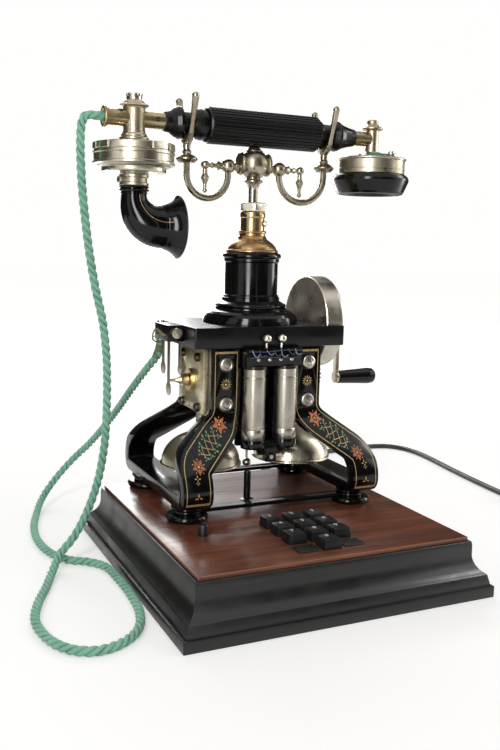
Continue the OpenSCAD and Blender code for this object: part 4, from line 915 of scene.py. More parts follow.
def smooth_line(points, step):
    """Even steps along a smooth curve through points, in millimetres."""
    points = [Vector(p) for p in points]
    ends = [2 * points[0] - points[1]] + points + [2 * points[-1] - points[-2]]
    fine = []
    for a, b, c, d in zip(ends, ends[1:], ends[2:], ends[3:]):
        for i in range(24):
            t = i / 24
            fine.append(0.5 * ((2 * b) + (c - a) * t + (2 * a - 5 * b + 4 * c - d) * t * t
                               + (3 * b - a - 3 * c + d) * t ** 3))
    fine.append(points[-1])
    length = sum((q - p).length for p, q in zip(fine, fine[1:]))
    count = max(2, round(length / step))
    line, walked, target = [fine[0]], 0.0, length / count
    for p, q in zip(fine, fine[1:]):
        span = (q - p).length
        while walked + span >= target - 1e-9 and len(line) < count:
            line.append(p + (q - p) * ((target - walked) / span))
            target += length / count
        walked += span
    line.append(fine[-1])
    return line, length


def sweep(name, line, radius_at, sides, crest_at=None):
    """A closed tube along a line; radius_at gives the radius by way along and angle."""
    vertices, faces, crests = [], [], []
    heading = (line[1] - line[0]).normalized()
    across = heading.orthogonal().normalized()
    walked = 0.0
    for i, point in enumerate(line):
        before, after = line[max(0, i - 1)], line[min(len(line) - 1, i + 1)]
        new_heading = (after - before).normalized()
        across = heading.rotation_difference(new_heading) @ across
        across = (across - new_heading * across.dot(new_heading)).normalized()
        heading = new_heading
        other = heading.cross(across)
        walked += (point - line[i - 1]).length if i else 0.0
        for side in range(sides):
            angle = math.tau * side / sides
            radius = radius_at(walked, angle)
            vertices.append((point + (across * math.cos(angle) + other * math.sin(angle)) * radius) * MM)
            crests.append(crest_at(walked, angle) if crest_at else 1.0)
    rings = len(line)
    for i in range(rings - 1):
        for side in range(sides):
            after = (side + 1) % sides
            faces.append((i * sides + side, i * sides + after,
                          (i + 1) * sides + after, (i + 1) * sides + side))
    faces.append(tuple(reversed(range(sides))))
    faces.append(tuple((rings - 1) * sides + side for side in range(sides)))
    mesh = bpy.data.meshes.new(name)
    mesh.from_pydata(vertices, [], faces)
    marks = mesh.attributes.new("crest", "FLOAT", "POINT")
    marks.data.foreach_set("value", crests)
    chart = mesh.uv_layers.new(name="along_and_round")
    step = (line[1] - line[0]).length
    for face in mesh.polygons:
        for loop in face.loop_indices:
            ring, side = divmod(mesh.loops[loop].vertex_index, sides)
            wraps = side == 0 and any(mesh.loops[k].vertex_index % sides == sides - 1
                                      for k in face.loop_indices)
            chart.data[loop].uv = (ring * step * MM * 20, side / sides + (1 if wraps else 0))
    piece = bpy.data.objects.new(name, mesh)
    bpy.context.scene.collection.objects.link(piece)
    edit_all(piece)
    bpy.ops.mesh.normals_make_consistent(inside=False)
    deselect()
    return piece


# Shares of the cord's radius: a strand's middle and radius, the groove's bottom and its depth.
STRAND_OUT, STRAND_R, GROOVE_AT, GROOVE_IN = 0.536, 0.464, 0.268, 0.732


def strand_share(walked, angle):
    """From 0 in the groove between two strands to 1 on a strand's crest."""
    turn = (angle + math.tau * walked / LAY) % (math.tau / STRANDS) - math.pi / STRANDS
    reach = STRAND_OUT * math.cos(turn) + math.sqrt(
        max(0.0, STRAND_R ** 2 - (STRAND_OUT * math.sin(turn)) ** 2))
    return (reach - GROOVE_AT) / GROOVE_IN


GROOVE_DEPTH, WHIPPED = 0.52, 9.0


def handset_cord():
    line, length = smooth_line(HANDSET_ROUTE, CORD_STEP)

    def radius_at(walked, angle):
        depth = GROOVE_DEPTH * clamped(min(walked - 2, length - walked - WHIPPED) / 6)
        return CORD_D / 2 * (1 - depth * (1 - strand_share(walked, angle)))

    cord = sweep("handset_cord_piece", line, radius_at, 18, strand_share)
    wear(cord, "cotton")
    finish_piece(cord, None, 60)
    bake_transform(cord)
    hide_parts("handset_cord")


def coil_route():
    """Eight turns in three layers; each passes to the next on the coil's left side."""
    route, steps, last = [], 36, len(COIL_TURNS) - 1
    for number, (radius, height) in enumerate(COIL_TURNS):
        next_radius, next_height = COIL_TURNS[min(number + 1, last)]
        for i in range(steps):
            share = i / steps
            if number == last and share > 0.955:
                break
            shift = clamped((share - 0.78) / 0.22)
            bow = math.sin(math.pi * shift) * 2.4 if next_height != height else 0.0
            here = radius + (next_radius - radius) * eased(shift) + (bow if radius > 30 else -bow)
            lift = height + (next_height - height) * eased(shift)
            if number == last:
                lift = height + (PLUG_REAR[2] - height) * eased(clamped((share - 0.8) / 0.16))
            angle = math.pi + math.tau * share
            route.append((COIL_MIDDLE[0] + here * math.cos(angle),
                          COIL_MIDDLE[1] + here * math.sin(angle), lift))
    return route + [PLUG_REAR]


def line_cord():
    """The cord to the wall with its relief and its plug."""
    relief_line, relief_length = smooth_line(RELIEF_ROUTE, 0.6)
    wall = high("plinth_rails").y

    def relief_radius(walked, angle):
        taper = 5.0 - 2.1 * clamped((walked - 22) / (relief_length - 22))
        if walked < wall - RELIEF_ROUTE[0][1] + 1:
            return 5.0
        groove = max(0.0, math.sin(math.tau * walked / 4.2)) ** 2
        return taper - 0.75 * groove * min(1.0, (relief_length - walked) / 2)

    relief = sweep("cord_relief_piece", relief_line, relief_radius, 32)
    settle(relief, "cord_relief", "relief", 50, True)
    plug = make_plug()
    line, length = smooth_line(LINE_ROUTE + coil_route(), 2.0)
    cord = sweep("line_cord_piece", line, lambda walked, angle: LINE_D / 2, 14)
    settle(cord, "line_cord", "grey_cord", 60)
    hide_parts("line_cord", "line_cord_coil")


def cut_box(low_corner, high_corner, name, width=0.4, segments=2):
    """A block between two corners, in millimetres, with its edges bevelled."""
    deselect()
    first, second = Vector(low_corner), Vector(high_corner)
    bpy.ops.mesh.primitive_cube_add(size=1, location=(first + second) / 2 * MM)
    block = bpy.context.object
    block.name = name
    block.scale = (second - first) * MM
    place(block)
    if width:
        apply_modifier(block, "BEVEL", width=width * MM, segments=segments, limit_method="NONE")
    return block


def subtract(piece, cutter):
    apply_modifier(piece, "BOOLEAN", operation="DIFFERENCE", object=cutter, solver="EXACT")
    bpy.data.objects.remove(cutter, do_unlink=True)


CONTACTS, CONTACT_PITCH = 8, 1.02


def make_plug():
    """A small clear modular plug with eight contacts and a spring latch."""
    plug_low, plug_high = low("line_plug"), high("line_plug")
    middle_x, under = (plug_low.x + plug_high.x) / 2, plug_low.z
    front = plug_low.y + 3
    places = [middle_x + (n - 3.5) * CONTACT_PITCH for n in range(CONTACTS)]
    body = cut_box((plug_low.x, front, under), tuple(plug_high), "line_plug_piece", 0.5)
    for x in places:
        subtract(body, cut_box((x - 0.3, front - 1, under + 1.2), (x + 0.3, front + 3.4, under - 1), "slit", 0))
    settle(body, "line_plug", "plug", 30)
    latch = cut_box((middle_x - 1.6, plug_low.y, plug_high.z - 2.2),
                    (middle_x + 1.6, front + 0.5, plug_high.z - 1.2), "plug_latch", 0.3)
    settle(latch, "line_plug", "plug", 30).parent = body
    blades = [cut_box((x - 0.17, front + 0.4, under + 0.3), (x + 0.17, front + 3.2, under + 1.1),
                      "blade", 0.08, 1) for x in places]
    settle(joined("plug_contacts", blades), "line_plug", "brass", 30).parent = body
    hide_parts("line_plug")
    return body


# ---- handset ----

def handset_tubes():
    """Two brassy tubes with a flared mouth where the cord comes out."""
    grip_left, grip_right = low("handle_grip").x, high("handle_grip").x
    tube_r = 5.7
    centre = around_phone(0, HANDSET_Z)
    flare = shifted([
        (0, 9), (4.3, 9), (4.5, 2.2), (4.9, 0.8), (5.6, 0.15), (6.3, 0), (6.85, 0.3), (7.1, 0.9),
        (7.1, 1.5), (6.7, 2.0), (6.1, 2.3), (6.1, 2.9), (tube_r, 3.6),
    ], up=low("handset_tubes").x + 7.8)
    left = turned("left_tube", flare + [(tube_r, grip_left + 9.6), (0, grip_left + 9.6)], centre, "X", 72)
    right_r, start, end = tube_r - 0.5, grip_right - 7.6, RECEIVER_X - 2.6
    right = turned("right_tube", [
        (0, start), (right_r, start), (right_r, end - 0.6), (right_r - 0.6, end), (0, end),
    ], centre, "X", 72)
    settle(joined("handset_tubes_piece", [left, right]), "handset_tubes", "tube_nickel", 40, True)


HORN_BEND_R, HORN_WALL = 19, 1.6
HORN_RADII = [  # (way along, radius)
    (0, 8.5), (6, 8.9), (12, 10.4), (18, 12.1), (24, 13.6), (30, 14.6), (36.6, 15.1), (39, 15.8),
    (42, 16.9), (44.5, 18.2), (46.6, 19.6), (48.2, 21.0), (49.3, 22.1),
]


COLLAR_PROFILE = [
    (6.9, -5.2), (8.6, -5.2), (9.2, -4.9), (9.2, -4.3), (8.9, -4.0), (8.9, -3.6), (9.9, -3.3), (10.3, -2.8),
    (10.3, -2.3), (9.9, -1.9), (9.3, -1.7), (9.3, -1.3), (10.0, -1.0), (10.3, -0.5), (10.0, 0), (6.9, 0),
]
# How far round the painted reflection on the horn lies.
REFLECTION_LEAN = math.radians(10)  # from the horn's side towards the outside of its bend


def mouthpiece_horn():
    """A horn that bends from straight down to straight ahead and flares to its lip."""
    box_low, box_high = low("mouthpiece_horn"), high("mouthpiece_horn")
    top, mouth_x = box_high.z, box_high.x
    mouth_z = box_low.z + (box_high.y - box_low.y) / 2
    bend_top, turn_x = mouth_z + HORN_BEND_R, TRANSMITTER_X + HORN_BEND_R
    line = [(TRANSMITTER_X, top - 2 - i * (top - 2 - bend_top) / 12) for i in range(12)]
    line += [(turn_x - HORN_BEND_R * math.cos(a), bend_top - HORN_BEND_R * math.sin(a))
             for a in [math.radians(3 * i) for i in range(31)]]
    line += [(turn_x + (mouth_x - 0.3 - turn_x) * i / 32, mouth_z) for i in range(1, 33)]
    line = [Vector(around_phone(x, z)) for x, z in line]
    steps = [(q - p).length for p, q in zip(line, line[1:])]
    length = sum(steps)
    profile = smooth_line([(s * length / HORN_RADII[-1][0], r, 0) for s, r in HORN_RADII], 0.2)[0]

    def radius_at(walked, angle):
        after = next((i for i, p in enumerate(profile) if p.x > walked), len(profile) - 1)
        p, q = profile[max(after, 1) - 1], profile[max(after, 1)]
        return p.y + (q.y - p.y) * min(1, (walked - p.x) / (q.x - p.x))

    shell = sweep("mouthpiece_horn_piece", line, radius_at, 96)
    shell.data.attributes.remove(shell.data.attributes["crest"])
    edit_faces(shell, lambda face: len(face.vertices) > 4)
    bpy.ops.mesh.select_mode(type="FACE")
    bpy.ops.mesh.delete(type="FACE")
    deselect()
    apply_modifier(shell, "SOLIDIFY", thickness=HORN_WALL * MM, offset=-1, use_even_offset=True)
    apply_modifier(shell, "BEVEL", width=0.6 * MM, segments=3, limit_method="ANGLE",
                   angle_limit=math.radians(50))
    collar = turned("horn_collar", COLLAR_PROFILE, around_phone(TRANSMITTER_X, top), "Z", 72)
    shut_profile(collar)
    settle(joined("mouthpiece_horn_piece", [shell, collar]), "mouthpiece_horn", "horn", 40, True)
    # Painted reflection: a thin gold wire along the front of the horn, on the side that faces the camera.
    reflection_line = []
    for i in range(8, 54):
        heading = (line[i + 1] - line[i - 1]).normalized()
        inward = Vector((0, 1, 0)).cross(heading)
        outward = Vector((0, -1, 0)) * math.cos(REFLECTION_LEAN) - inward * math.sin(REFLECTION_LEAN)
        reflection_line.append(line[i] + outward * (radius_at(sum(steps[:i]), 0) + 0.02))
    settle(wire("horn_painted_reflection", reflection_line, 0.17, 2, 2), "mouthpiece_horn", "gold", 40)


def shut_profile(piece):
    """Joins a spun ring's first and last edge loops into a closed wall."""
    edit_all(piece)
    bpy.ops.mesh.select_all(action="DESELECT")
    bpy.ops.mesh.select_mode(type="EDGE")
    bpy.ops.mesh.select_non_manifold()
    bpy.ops.mesh.bridge_edge_loops()
    bpy.ops.mesh.select_all(action="SELECT")
    bpy.ops.mesh.normals_make_consistent(inside=False)
    deselect()


def lathe(node, finish, pieces, angle=35):
    """Replaces a node with spun pieces."""
    return settle(joined(node + "_piece", pieces), node, finish, angle, True)


def notch(piece, low_corner, high_corner, centre, angle):
    """Cuts a box that is turned round a vertical axis through centre."""
    cutter = cut_box(low_corner, high_corner, "notch", 0)
    cutter.rotation_euler = (0, 0, angle)
    cutter.location = Vector(centre) * MM
    place(cutter)
    subtract(piece, cutter)


def transmitter():
    """Ringed and notched case, its barrel with a castellated crown, and the socket of the horn."""
    low_z, top_z = high("mouthpiece_horn").z + 8.5, high("transmitter_case").z
    r = (high("transmitter_case").x - low("transmitter_case").x) / 2
    centre = around_phone(TRANSMITTER_X, low_z)
    cap = [(0, 22.0), (10.4, 22.0), (10.8, 21.6), (12, 21.5), (16, 21.0), (20.6, 20.2), (22.4, 19.9),
           (23.2, 20.1), (23.9, 19.7), (24.3, 19.3)]
    rings = shifted([
        (-0.7, 19.5), (-0.2, 19.2), (0, 18.7), (0, 15.2), (-0.3, 14.8), (-0.9, 14.6), (-0.9, 14.0),
        (-0.2, 13.8), (0, 13.4), (0, 12.7), (-0.4, 12.4), (-0.7, 12.1), (-0.7, 7.6), (-0.4, 7.3),
        (0, 7.0), (0, 6.0), (-0.3, 5.6), (-1.4, 5.3), (-2.8, 5.1), (-3.1, 4.6), (-3.6, 4.3),
        (-5.6, 3.7), (-5.9, 3.3), (-6.0, 1.2), (-6.3, 0.7), (-8, 0.3)], out=r)
    socket = [(14, -0.1), (11, -0.3), (10.2, -0.7), (9.9, -1.1), (9.9, -2.6), (9.5, -2.9), (8.9, -3.1),
              (8.9, -5.9), (9.5, -6.1), (9.9, -6.4), (9.9, -7.8), (9.5, -8.4), (0, -8.4)]
    case = turned("transmitter_rings", cap + rings + socket, centre, "Z", 120)
    for i in range(12):
        notch(case, (r - 1.3, -1.5, 14.9), (r + 2, 1.5, 21), centre, math.tau * i / 12 + 0.13)
    screw = turned("thumb_screw", [
        (0, 13.1), (1.7, 13.0), (2.3, 12.6), (2.5, 12.0), (2.5, 11.3), (2.2, 10.8), (1.6, 10.6),
        (1.6, 8.4), (0, 8.4)], (0, 0, 0), "X", 32)
    turned_to(screw, 200, around_phone(TRANSMITTER_X, low_z - 4.6))
    lathe("transmitter_case", "nickel", [case, screw], 30)

    centre = around_phone(TRANSMITTER_X, top_z - 0.6)
    barrel = turned("barrel", [
        (0, 0.2), (9.6, 0.2), (10.0, 0.6), (10.0, 1.4), (9.6, 1.9), (9.0, 2.2), (8.8, 2.9), (8.5, 3.9),
        (8.0, 4.5), (7.6, 4.8), (7.6, 5.8), (7.3, 6.1), (7.3, 20.6), (7.8, 21.4), (8.8, 21.9), (9.7, 22.2),
        (9.9, 22.6), (9.7, 23.0), (8.7, 23.3), (7.7, 23.7), (7.2, 24.6), (6.2, 25.6), (5.4, 26.2),
        (5.2, 27.0), (5.2, 28.6), (5.5, 29.0), (5.5, 30.2), (3.7, 30.2), (3.7, 28.4), (0, 28.4),
    ], centre, "Z", 96)
    for turn in (15, 105):
        notch(barrel, (-8, -1.0, 28.8), (8, 1.0, 34), centre, math.radians(turn))
    lathe("transmitter_bracket", "barrel_nickel", [barrel], 30)


def receiver():
    """Cup with a bright band, its post, two terminals and the wires between them."""
    cup_low, cup_top = low("receiver_case").z, low("receiver_bracket").z
    r = (high("ear_cap").x - low("ear_cap").x) / 2 - 3.2
    centre = around_phone(RECEIVER_X, 0)
    wall = shifted([
        (-0.9, 0), (-0.5, 0.4), (-0.4, 1), (-0.4, 3.0), (-0.15, 3.2), (-0.15, 3.9), (-0.4, 4.1),
        (-0.4, 10.0), (0, 10.3), (0.5, 10.5), (0.7, 10.9), (0.6, 11.4), (0.1, 11.8), (-0.6, 12.1),
        (-3, 12.2), (-3.3, 11.8), (-3.7, 12.2)], r, cup_low)
    made = [turned("cup", [(0, cup_low), *wall, (0, cup_low + 12.2)], centre, "Z", 120)]
    for side in (-1, 1):
        made.append(turned("terminal", [
            (0, 0), (2.6, 0), (2.8, 0.3), (2.8, 0.9), (3.4, 1.0), (3.7, 1.4), (3.7, 3.4), (3.4, 3.8),
            (2.4, 3.9), (2.4, 5.0), (2.1, 5.4), (1.2, 5.6), (0, 5.6),
        ], (RECEIVER_X + 12, PHONE_Y + side * 9, cup_top), "Z", 28))
    lathe("receiver_case", "nickel", made, 30)
    foot = shifted([(0, 0), (8.9, 0), (9.2, 0.4), (8.9, 1.5), (7.8, 2.3), (6.0, 3.6), (5.1, 4.8)], up=cup_top)
    knob = shifted([
        (4.9, -6), (4.9, 6.2), (5.6, 6.7), (7.2, 7.1), (7.8, 7.6), (7.8, 8.3), (7.2, 8.8), (5.4, 9.6),
        (4.8, 10.4), (4.2, 11.0), (4.3, 11.4), (4.5, 11.8), (4.5, 13.2), (4.2, 13.8), (3.2, 14.3),
        (0, 14.4)], up=HANDSET_Z)
    lathe("receiver_bracket", "barrel_nickel", [turned("receiver_post", foot + knob, centre, "Z", 72)], 30)
    coat("ear_cap", "ebonite")
    strands = []
    for lift, reach in ((0.9, 10.4), (2.1, 10.0), (1.5, 11.3), (2.9, 9.4)):
        loop = []
        for i in range(15):
            a = math.radians(-150 + 20 * i + 9 * lift)
            loop.append((RECEIVER_X + math.cos(a) * (reach + 0.5 * math.sin(3 * a + lift)),
                         PHONE_Y + math.sin(a) * (reach + 0.4 * math.cos(4 * a)),
                         cup_top + lift + 0.35 * math.sin(5 * a + reach)))
        strands.append(wire("receiver_wire", loop, 0.62, 3, 5))
    for side in (-1, 1):
        lead = ((-3 + 2 * side, 8.6, 1.5), (4, 11.8, 2.6), (9, 12.4, 2.4), (12, 11.6, 1.7))
        strands.append(wire("receiver_lead", [(RECEIVER_X + x, PHONE_Y + side * y, cup_top + z)
                                              for x, y, z in lead], 0.55, 3, 5))
    wires = joined("receiver_wires", strands)
    wear(wires, "green_silk")
    finish_piece(wires, record_body("receiver_case"), 60)


def handset():
    handset_tubes()
    mouthpiece_horn()
    coat("handle_grip", "ebonite")
    transmitter()
    receiver()


# ---- ringer, generator, plate and cradle ----

def ringer_coils():
    """Two coils in satin sleeves with a bead near each end and dark cheeks."""
    coils_low, coils_high = low("ringer_coils"), high("ringer_coils")
    r = (coils_high.y - coils_low.y) / 2 - 0.2
    tall = coils_high.z - coils_low.z
    x, y = coils_high.x - r - 0.2, (coils_low.y + coils_high.y) / 2
    foot = shifted([(0.05, 0), (0.25, 0.3), (0.25, 7.2), (0.1, 7.6), (-0.1, 7.8), (-0.05, 8.2), (0, 8.6)], r)
    head = shifted([(0, -9.8), (0.25, -9.6), (0.3, -9.1), (0.25, -8.6), (-0.05, -8.4), (-0.15, -7.9),
                    (-0.1, -7.4), (-0.1, -0.4), (-0.5, 0)], r, tall)
    rim = shifted([(0.5, -2.4), (0.8, -2.1), (0.8, -0.3), (0.5, 0)], r, tall)
    middles = [(side * x, y, coils_low.z) for side in (-1, 1)]
    lathe("ringer_coils", "coil_nickel", [
        turned("ringer_coils_piece", [(0, 0), *foot, *head, (0, tall)], centre, "Z", 72) for centre in middles])
    cheeks = [turned("cheek", [(0, tall - 2.4), *rim, (0, tall)], centre, "Z", 56) for centre in middles]
    settle(joined("coil_cheeks", cheeks), "ringer_block", "ebonite", 35)


def block_wires():
    """Silk covered leads and clear loops on the front of the block over the coils."""
    block_low, block_high = low("ringer_block"), high("ringer_block")
    face, strands, loops = block_low.y - 0.5, [], []
    span = block_high.x - block_low.x
    for i in range(7):
        start = block_low.x + span * (0.08 + 0.13 * i)
        sag = 1.6 + 1.3 * math.sin(2.1 * i)
        points = [(start, face, block_high.z - 1.0 - 0.5 * math.sin(i)),
                  (start + 1.6, face - 0.5, block_high.z - 3.0 - sag),
                  (start + 3.7, face - 0.3, block_high.z - 5.4 - 0.8 * math.cos(1.7 * i)),
                  (start + 5.6, face, block_high.z - 3.4 - sag * 0.6)]
        points = [(min(p[0], block_high.x - 1), p[1], p[2]) for p in points]
        (strands if i % 2 else loops).append(wire("lead", points, 0.42, 3, 6))
    for level, bow in ((2.0, 0.5), (6.6, -0.5)):
        z = block_high.z - level
        strands.append(wire("cross_lead", [
            (block_low.x + 1.2, face + 0.1, z), (block_low.x + span * 0.35, face - 0.4, z - bow),
            (block_low.x + span * 0.65, face - 0.4, z + bow), (block_high.x - 1.2, face + 0.1, z)],
            0.42, 3, 8))
    for pieces, name, finish in ((strands, "blue_leads", "blue_wire"), (loops, "pale_leads", "pale_wire")):
        settle(joined(name, pieces), "ringer_block", finish, 60)
    screws = [turned("block_screw", [
        (0, -1.0), (0.9, -0.95), (1.3, -0.6), (1.4, -0.2), (1.4, 0.3), (0, 0.3)],
        (span * x, block_low.y, block_high.z - 8.2), "Y", 24) for x in (-0.3, -0.1, 0.1, 0.3)]
    settle(joined("block_screws", screws), "ringer_block", "nickel", 40)


def gongs():
    """Two bells, each a smooth dome with a rolled rim and a wall of even thickness."""
    bells_low, bells_high = low("gongs"), high("gongs")
    tall = bells_high.z - bells_low.z
    r = (bells_high.y - bells_low.y) / 2
    x = bells_high.x - r
    wall, rim, bore = 1.4, 2.2, 2.3
    dome = [((r - 1.2) * math.cos(math.radians(4 * i)), rim + (tall - rim) * math.sin(math.radians(4 * i)))
            for i in range(23)]
    outside = shifted([(-0.9, 0), (-0.2, 0.1), (0, 0.5), (0, 1.2), (-0.4, 1.8), (-1.0, 2.1)], r)
    outside += dome[1:-1] + [(bore, tall - 0.05)]
    share, drop = (r - 1.2 - wall) / (r - 1.2), (tall - rim - wall) / (tall - rim)
    inside = [(p * share, rim + (q - rim) * drop) for p, q in dome[:-2]]
    profile = [(bore, tall - 1.45)] + list(reversed(inside)) + outside + [(bore, tall - 1.45)]
    lathe("gongs", "gong_nickel", [
        turned("gongs_piece", profile, around_phone(side * x, bells_low.z), "Z", 120) for side in (-1, 1)], 40)


def ringer():
    dress("ringer_frame", "lacquer", 0.3)
    dress("ringer_block", "ebonite", 0.3)
    ringer_coils()
    block_wires()
    dress("pole_pieces", "iron", 0.3)
    gongs()
    coat("gong_posts", "steel")
    coat("clapper", "nickel")


def generator():
    dress("end_plates", "plate_nickel", 0.3)
    coat("bearings", "brass")
    coat("armature", "armature")
    coat("armature_winding", "copper")
    coat("crank_gear", "brass")
    coat("gear_cover", "drum_nickel")
    dress("crank_arm", "nickel", 0.4)
    coat("crank_handle", "ebonite")
    plate_screws()


def plate_screws():
    """Dark domed heads over the screws of the left end plate."""
    left = low("end_plates").x
    heads = [turned("plate_screw", [
        (0, -1.9), (1.6, -1.8), (2.6, -1.3), (3.1, -0.6), (3.2, 0.0), (3.2, 1.7), (0, 1.7)],
        (left, PHONE_Y + side * 15, GENERATOR_Z + level * 18), "X", 32)
        for side in (-1, 1) for level in (-1, 1)]
    settle(joined("plate_screws", heads), "end_plates", "dark_steel", 40)


def column_cap():
    """Copper-toned dome, brass sleeve and the bright six-sided nut round the stem."""
    z = low("column_cap").z
    top = high("column_cap").z - z
    nut = top - 7
    centre = around_phone(0, z)
    dome = turned("dome", [
        (0, 0), (18.9, 0), (19.25, 0.4), (19.3, 1.0), (19.0, 1.5), (18.3, 1.9), (18.1, 2.4), (17.6, 3.6),
        (16.6, 5.0), (15.0, 6.6), (13.0, 8.0), (11.4, 9.1), (10.6, 10.1), (10.3, 11.1), (9.9, 11.5),
        (9.6, 11.8), (9.6, 13.4), (9.9, 13.6), (10.3, 14.0), (10.4, 14.6), (10.2, 15.1), (9.6, 15.4),
        (0, 15.4)], centre, "Z", 120)
    upper = shifted([(8.7, -4.2), (9.0, -3.8), (9.2, -3.2), (9.2, -0.6), (8.9, 0), (0, 0)], up=nut)
    sleeve = turned("sleeve", [(0, 15.2), (8.7, 15.2), *upper], centre, "Z", 96)
    screw = turned("cap_screw", [
        (0, 10.9), (1.2, 10.85), (1.9, 10.5), (2.1, 9.9), (2.1, 9.3), (1.3, 9.1), (1.3, 7.5), (0, 7.5)],
        (0, 0, 0), "X", 28)
    turned_to(screw, -40, around_phone(0, z + 20.5))
    stem_nut = turned("stem_nut", [
        (0, nut - 0.02), (9.2, nut - 0.02), (10.5, nut + 0.9), (10.5, top - 0.9), (9.4, top), (0, top)],
        centre, "Z", 6)
    stem_nut.data.transform(Matrix.Translation((0, PHONE_Y * MM, 0))
                            @ Matrix.Rotation(math.radians(17), 4, "Z")
                            @ Matrix.Translation((0, -PHONE_Y * MM, 0)))
    apply_modifier(stem_nut, "BEVEL", width=0.7 * MM, segments=3, limit_method="ANGLE",
                   angle_limit=math.radians(25))
    parts = {"dome_brass": [dome], "sleeve_brass": [sleeve], "bright_nut": [screw, stem_nut]}
    for finish, pieces in parts.items():
        for piece in pieces:
            wear(piece, finish)
    cap = joined("column_cap_piece", [dome, sleeve, screw, stem_nut])
    finish_piece(cap, record_body("column_cap"), 30)
    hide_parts("column_cap")


def cradle_hub():
    """Ball with a flange on either side, a knob over it and the flared neck of the stem."""
    stem = low("cradle_hub").z - HUB_Z
    ball_r = 10.8
    centre = around_phone(0, HUB_Z)
    arc = [(ball_r * math.cos(math.radians(a)), ball_r * math.sin(math.radians(a))) for a in range(-51, 52, 3)]
    flange = [(0, -12.0), (5.8, -12.0), (7.2, -11.7), (7.9, -11.1), (8.1, -10.4), (8.0, -9.7), (7.5, -9.1),
              (6.9, -8.8)]
    ball = turned("hub_ball", flange + arc + [(r, -h) for r, h in reversed(flange)], centre, "X", 96)
    knob = turned("hub_knob", [
        (0, 7), (6.0, 8.4), (6.3, 8.9), (6.1, 9.5), (5.2, 9.9), (4.9, 10.3), (4.7, 10.9), (3.8, 11.8),
        (2.4, 12.3), (0, 12.5)], centre, "Z", 64)
    neck = turned("hub_neck", [
        (0, stem), (3.25, stem), (3.25, -20), (3.35, -18), (3.7, -16.2), (4.4, -14.6), (5.3, -13.5),
        (6.2, -12.9), (6.7, -12.4), (6.7, -11.7), (6.2, -11.2), (5.4, -10.9), (5.0, -10.4), (4.9, -8),
        (0, -8)], centre, "Z", 72)
    lathe("cradle_hub", "cradle_nickel", [ball, knob, neck])


def cord_clamp():
    """Ferrule and bare leads where the handset's cord meets its terminals."""
    end = Vector(HANDSET_ROUTE[-1])
    ferrule = wire("cord_ferrule", [Vector(p) for p in HANDSET_ROUTE[-4:-1]], [3.05, 3.25, 3.15], 10, 6)
    settle(ferrule, "terminal_block", "whipping", 40)
    block = low("terminal_block")
    leads = [wire("cord_lead", [
        (end.x + 1.2 * (i - 1), end.y - 1.0, end.z - 2.0), (block.x - 1.0, end.y - 3.0 - i, end.z + 0.5),
        (block.x - 1.4, end.y - 7.5 - reach, end.z + lift), (block.x - 0.3, block.y + 5 - reach, end.z + 6.5)],
        0.38, 3, 6) for i, (reach, lift) in enumerate(((2.2, 4.0), (0.2, 8.0), (-2.0, 5.5)))]
    settle(joined("cord_leads", leads), "terminal_block", "olive_silk", 60)


def plate_and_cradle():
    dress("table_plate", "plate_lacquer", 0.7)
    coat("column", "lacquer")
    column_cap()
    cradle_hub()
    coat("cradle_arms", "cradle_nickel")
    coat("cradle_forks", "cradle_nickel")
    dress("contact_springs", "nickel", 0.12)
    coat("front_terminals", "bright_nut")
    dress("terminal_block", "ebonite", 0.5)
    coat("wire_conduit", "ebonite")
    cord_clamp()


# ---- floor and light ----

def way_seen(tree):
    """1 for rays that come straight from the camera, a reflection or glass, and 0 for light."""
    path = tree.nodes.new("ShaderNodeLightPath")
    total = path.outputs["Is Camera Ray"]
    for output in ("Is Glossy Ray", "Is Transmission Ray"):
        largest = tree.nodes.new("ShaderNodeMath")
        largest.operation = "MAXIMUM"
        tree.links.new(total, largest.inputs[0])
        tree.links.new(path.outputs[output], largest.inputs[1])
        total = largest.outputs[0]
    return total


FLOOR_GLOW, FLOOR_GLOW_FAR = 0.42, 0.62


def floor_finish():
    """Pale floor, near white where it is seen, with the shadow kept."""
    finish = Finish("floor_white", (226, 225, 223), 0.9, Specular_IOR_Level=0.0)
    distance = finish.node("ShaderNodeVectorMath", operation="LENGTH")
    finish.feed(distance.inputs[0], finish.spot())
    far = finish.spread(distance.outputs["Value"], 0.45, 1.8, FLOOR_GLOW, FLOOR_GLOW_FAR)
    finish.put("Emission Color", (1, 0.995, 0.985, 1))
    finish.put("Emission Strength", finish.reckon("MULTIPLY", way_seen(finish.tree), far))
    return finish


def lamp(name, place_at, look_at, size, power, plain=True):
    """An area lamp; when it isn't plain, it shows in reflections only."""
    deselect()
    bpy.ops.object.light_add(type="AREA")
    light = bpy.context.object
    light.name = name
    light.data.shape = "RECTANGLE"
    light.data.size, light.data.size_y = size
    light.data.energy = power
    light.location = place_at
    light.visible_camera = False
    light.visible_diffuse = plain
    aim = Vector(look_at) - Vector(place_at)
    light.rotation_euler = aim.to_track_quat("-Z", "Y").to_euler()


WORLD_LIGHT, WORLD_SEEN = 0.5, 1.0  # the pale room's strength as light and as it is seen
CARD_DISTANCE, CARD_HEIGHT, CARD_SHADE = 0.98, 1.3, (74, 65, 52)
STRIP_DISTANCE, STRIP_HEIGHT = 0.88, 0.46


def stage_sheet(name, size, cuts, finish, turn=(0, 0, 0), place_at=(0, 0, 0)):
    """A flat sheet for the stage, in metres."""
    deselect()
    bpy.ops.mesh.primitive_plane_add(size=1)
    sheet = bpy.context.object
    sheet.name = name
    sheet.scale = (*size, 1)
    sheet.rotation_euler = turn
    sheet.location = place_at
    place(sheet)
    edit_all(sheet)
    bpy.ops.mesh.subdivide(number_cuts=cuts)
    deselect()
    sheet.data.materials.append(finish.material)
    return sheet


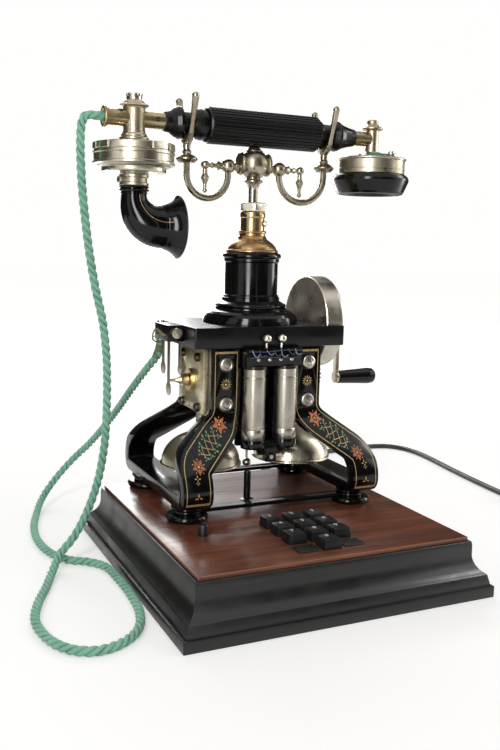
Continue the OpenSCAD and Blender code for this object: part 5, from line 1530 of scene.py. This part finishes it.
def out_from_phone(degrees, distance):
    """A place on the floor at an angle from straight ahead of the phone."""
    angle = math.radians(degrees)
    return Vector((math.sin(angle), -math.cos(angle), 0)) * distance + Vector((0, 0.05, 0))


def dark_card(turn, width):
    """An upright dark card that only reflections show, so that metal has contrast."""
    card = stage_sheet(f"card_{turn}", (width, CARD_HEIGHT), 2, Finish(f"card_{turn}_shade", CARD_SHADE, 1.0),
                       (math.radians(90), 0, math.radians(turn)),
                       out_from_phone(turn, CARD_DISTANCE) + Vector((0, 0, CARD_HEIGHT / 2 + 0.004)))
    card.visible_camera = card.visible_diffuse = card.visible_shadow = False
    card.visible_transmission = False


def stage_and_light():
    stage_sheet("floor", (14, 14), 8, floor_finish())

    world = bpy.data.worlds.new("pale_room")
    bpy.context.scene.world = world
    world.use_nodes = True
    background = world.node_tree.nodes["Background"]
    bright = world.node_tree.nodes.new("ShaderNodeMapRange")
    bright.inputs["To Min"].default_value = WORLD_LIGHT
    bright.inputs["To Max"].default_value = WORLD_SEEN
    world.node_tree.links.new(way_seen(world.node_tree), bright.inputs["Value"])
    background.inputs["Color"].default_value = (1, 0.998, 0.992, 1)
    world.node_tree.links.new(bright.outputs["Result"], background.inputs["Strength"])

    lamp("key", (-0.95, -1.15, 1.05), (0, 0.05, 0.18), (0.35, 0.5), 8)
    lamp("fill", (1.2, -0.9, 0.8), (0, 0.05, 0.15), (0.5, 0.7), 2.5)
    lamp("rim", (0.4, 1.3, 1.1), (0, 0.05, 0.2), (0.9, 0.4), 6)
    for turn, power in ((-36, 8), (86, 4), (172, 4)):
        aside = out_from_phone(turn, STRIP_DISTANCE)
        lamp(f"strip_{turn}", (aside.x, aside.y, STRIP_HEIGHT), (0, 0.05, STRIP_HEIGHT), (0.2, 0.9),
             power, False)
    for turn, width in ((-29, 1.02), (27, 0.92), (122, 1.1), (214, 1.15), (262, 0.6)):
        dark_card(turn, width)


# ---- making ----

make_camera()
FINISHES = make_finishes()
handset_cord()
line_cord()
plinth()
magnets()
ringer()
generator()
plate_and_cradle()
handset()
stage_and_light()

scene = bpy.context.scene
scene.view_settings.view_transform = "Standard"
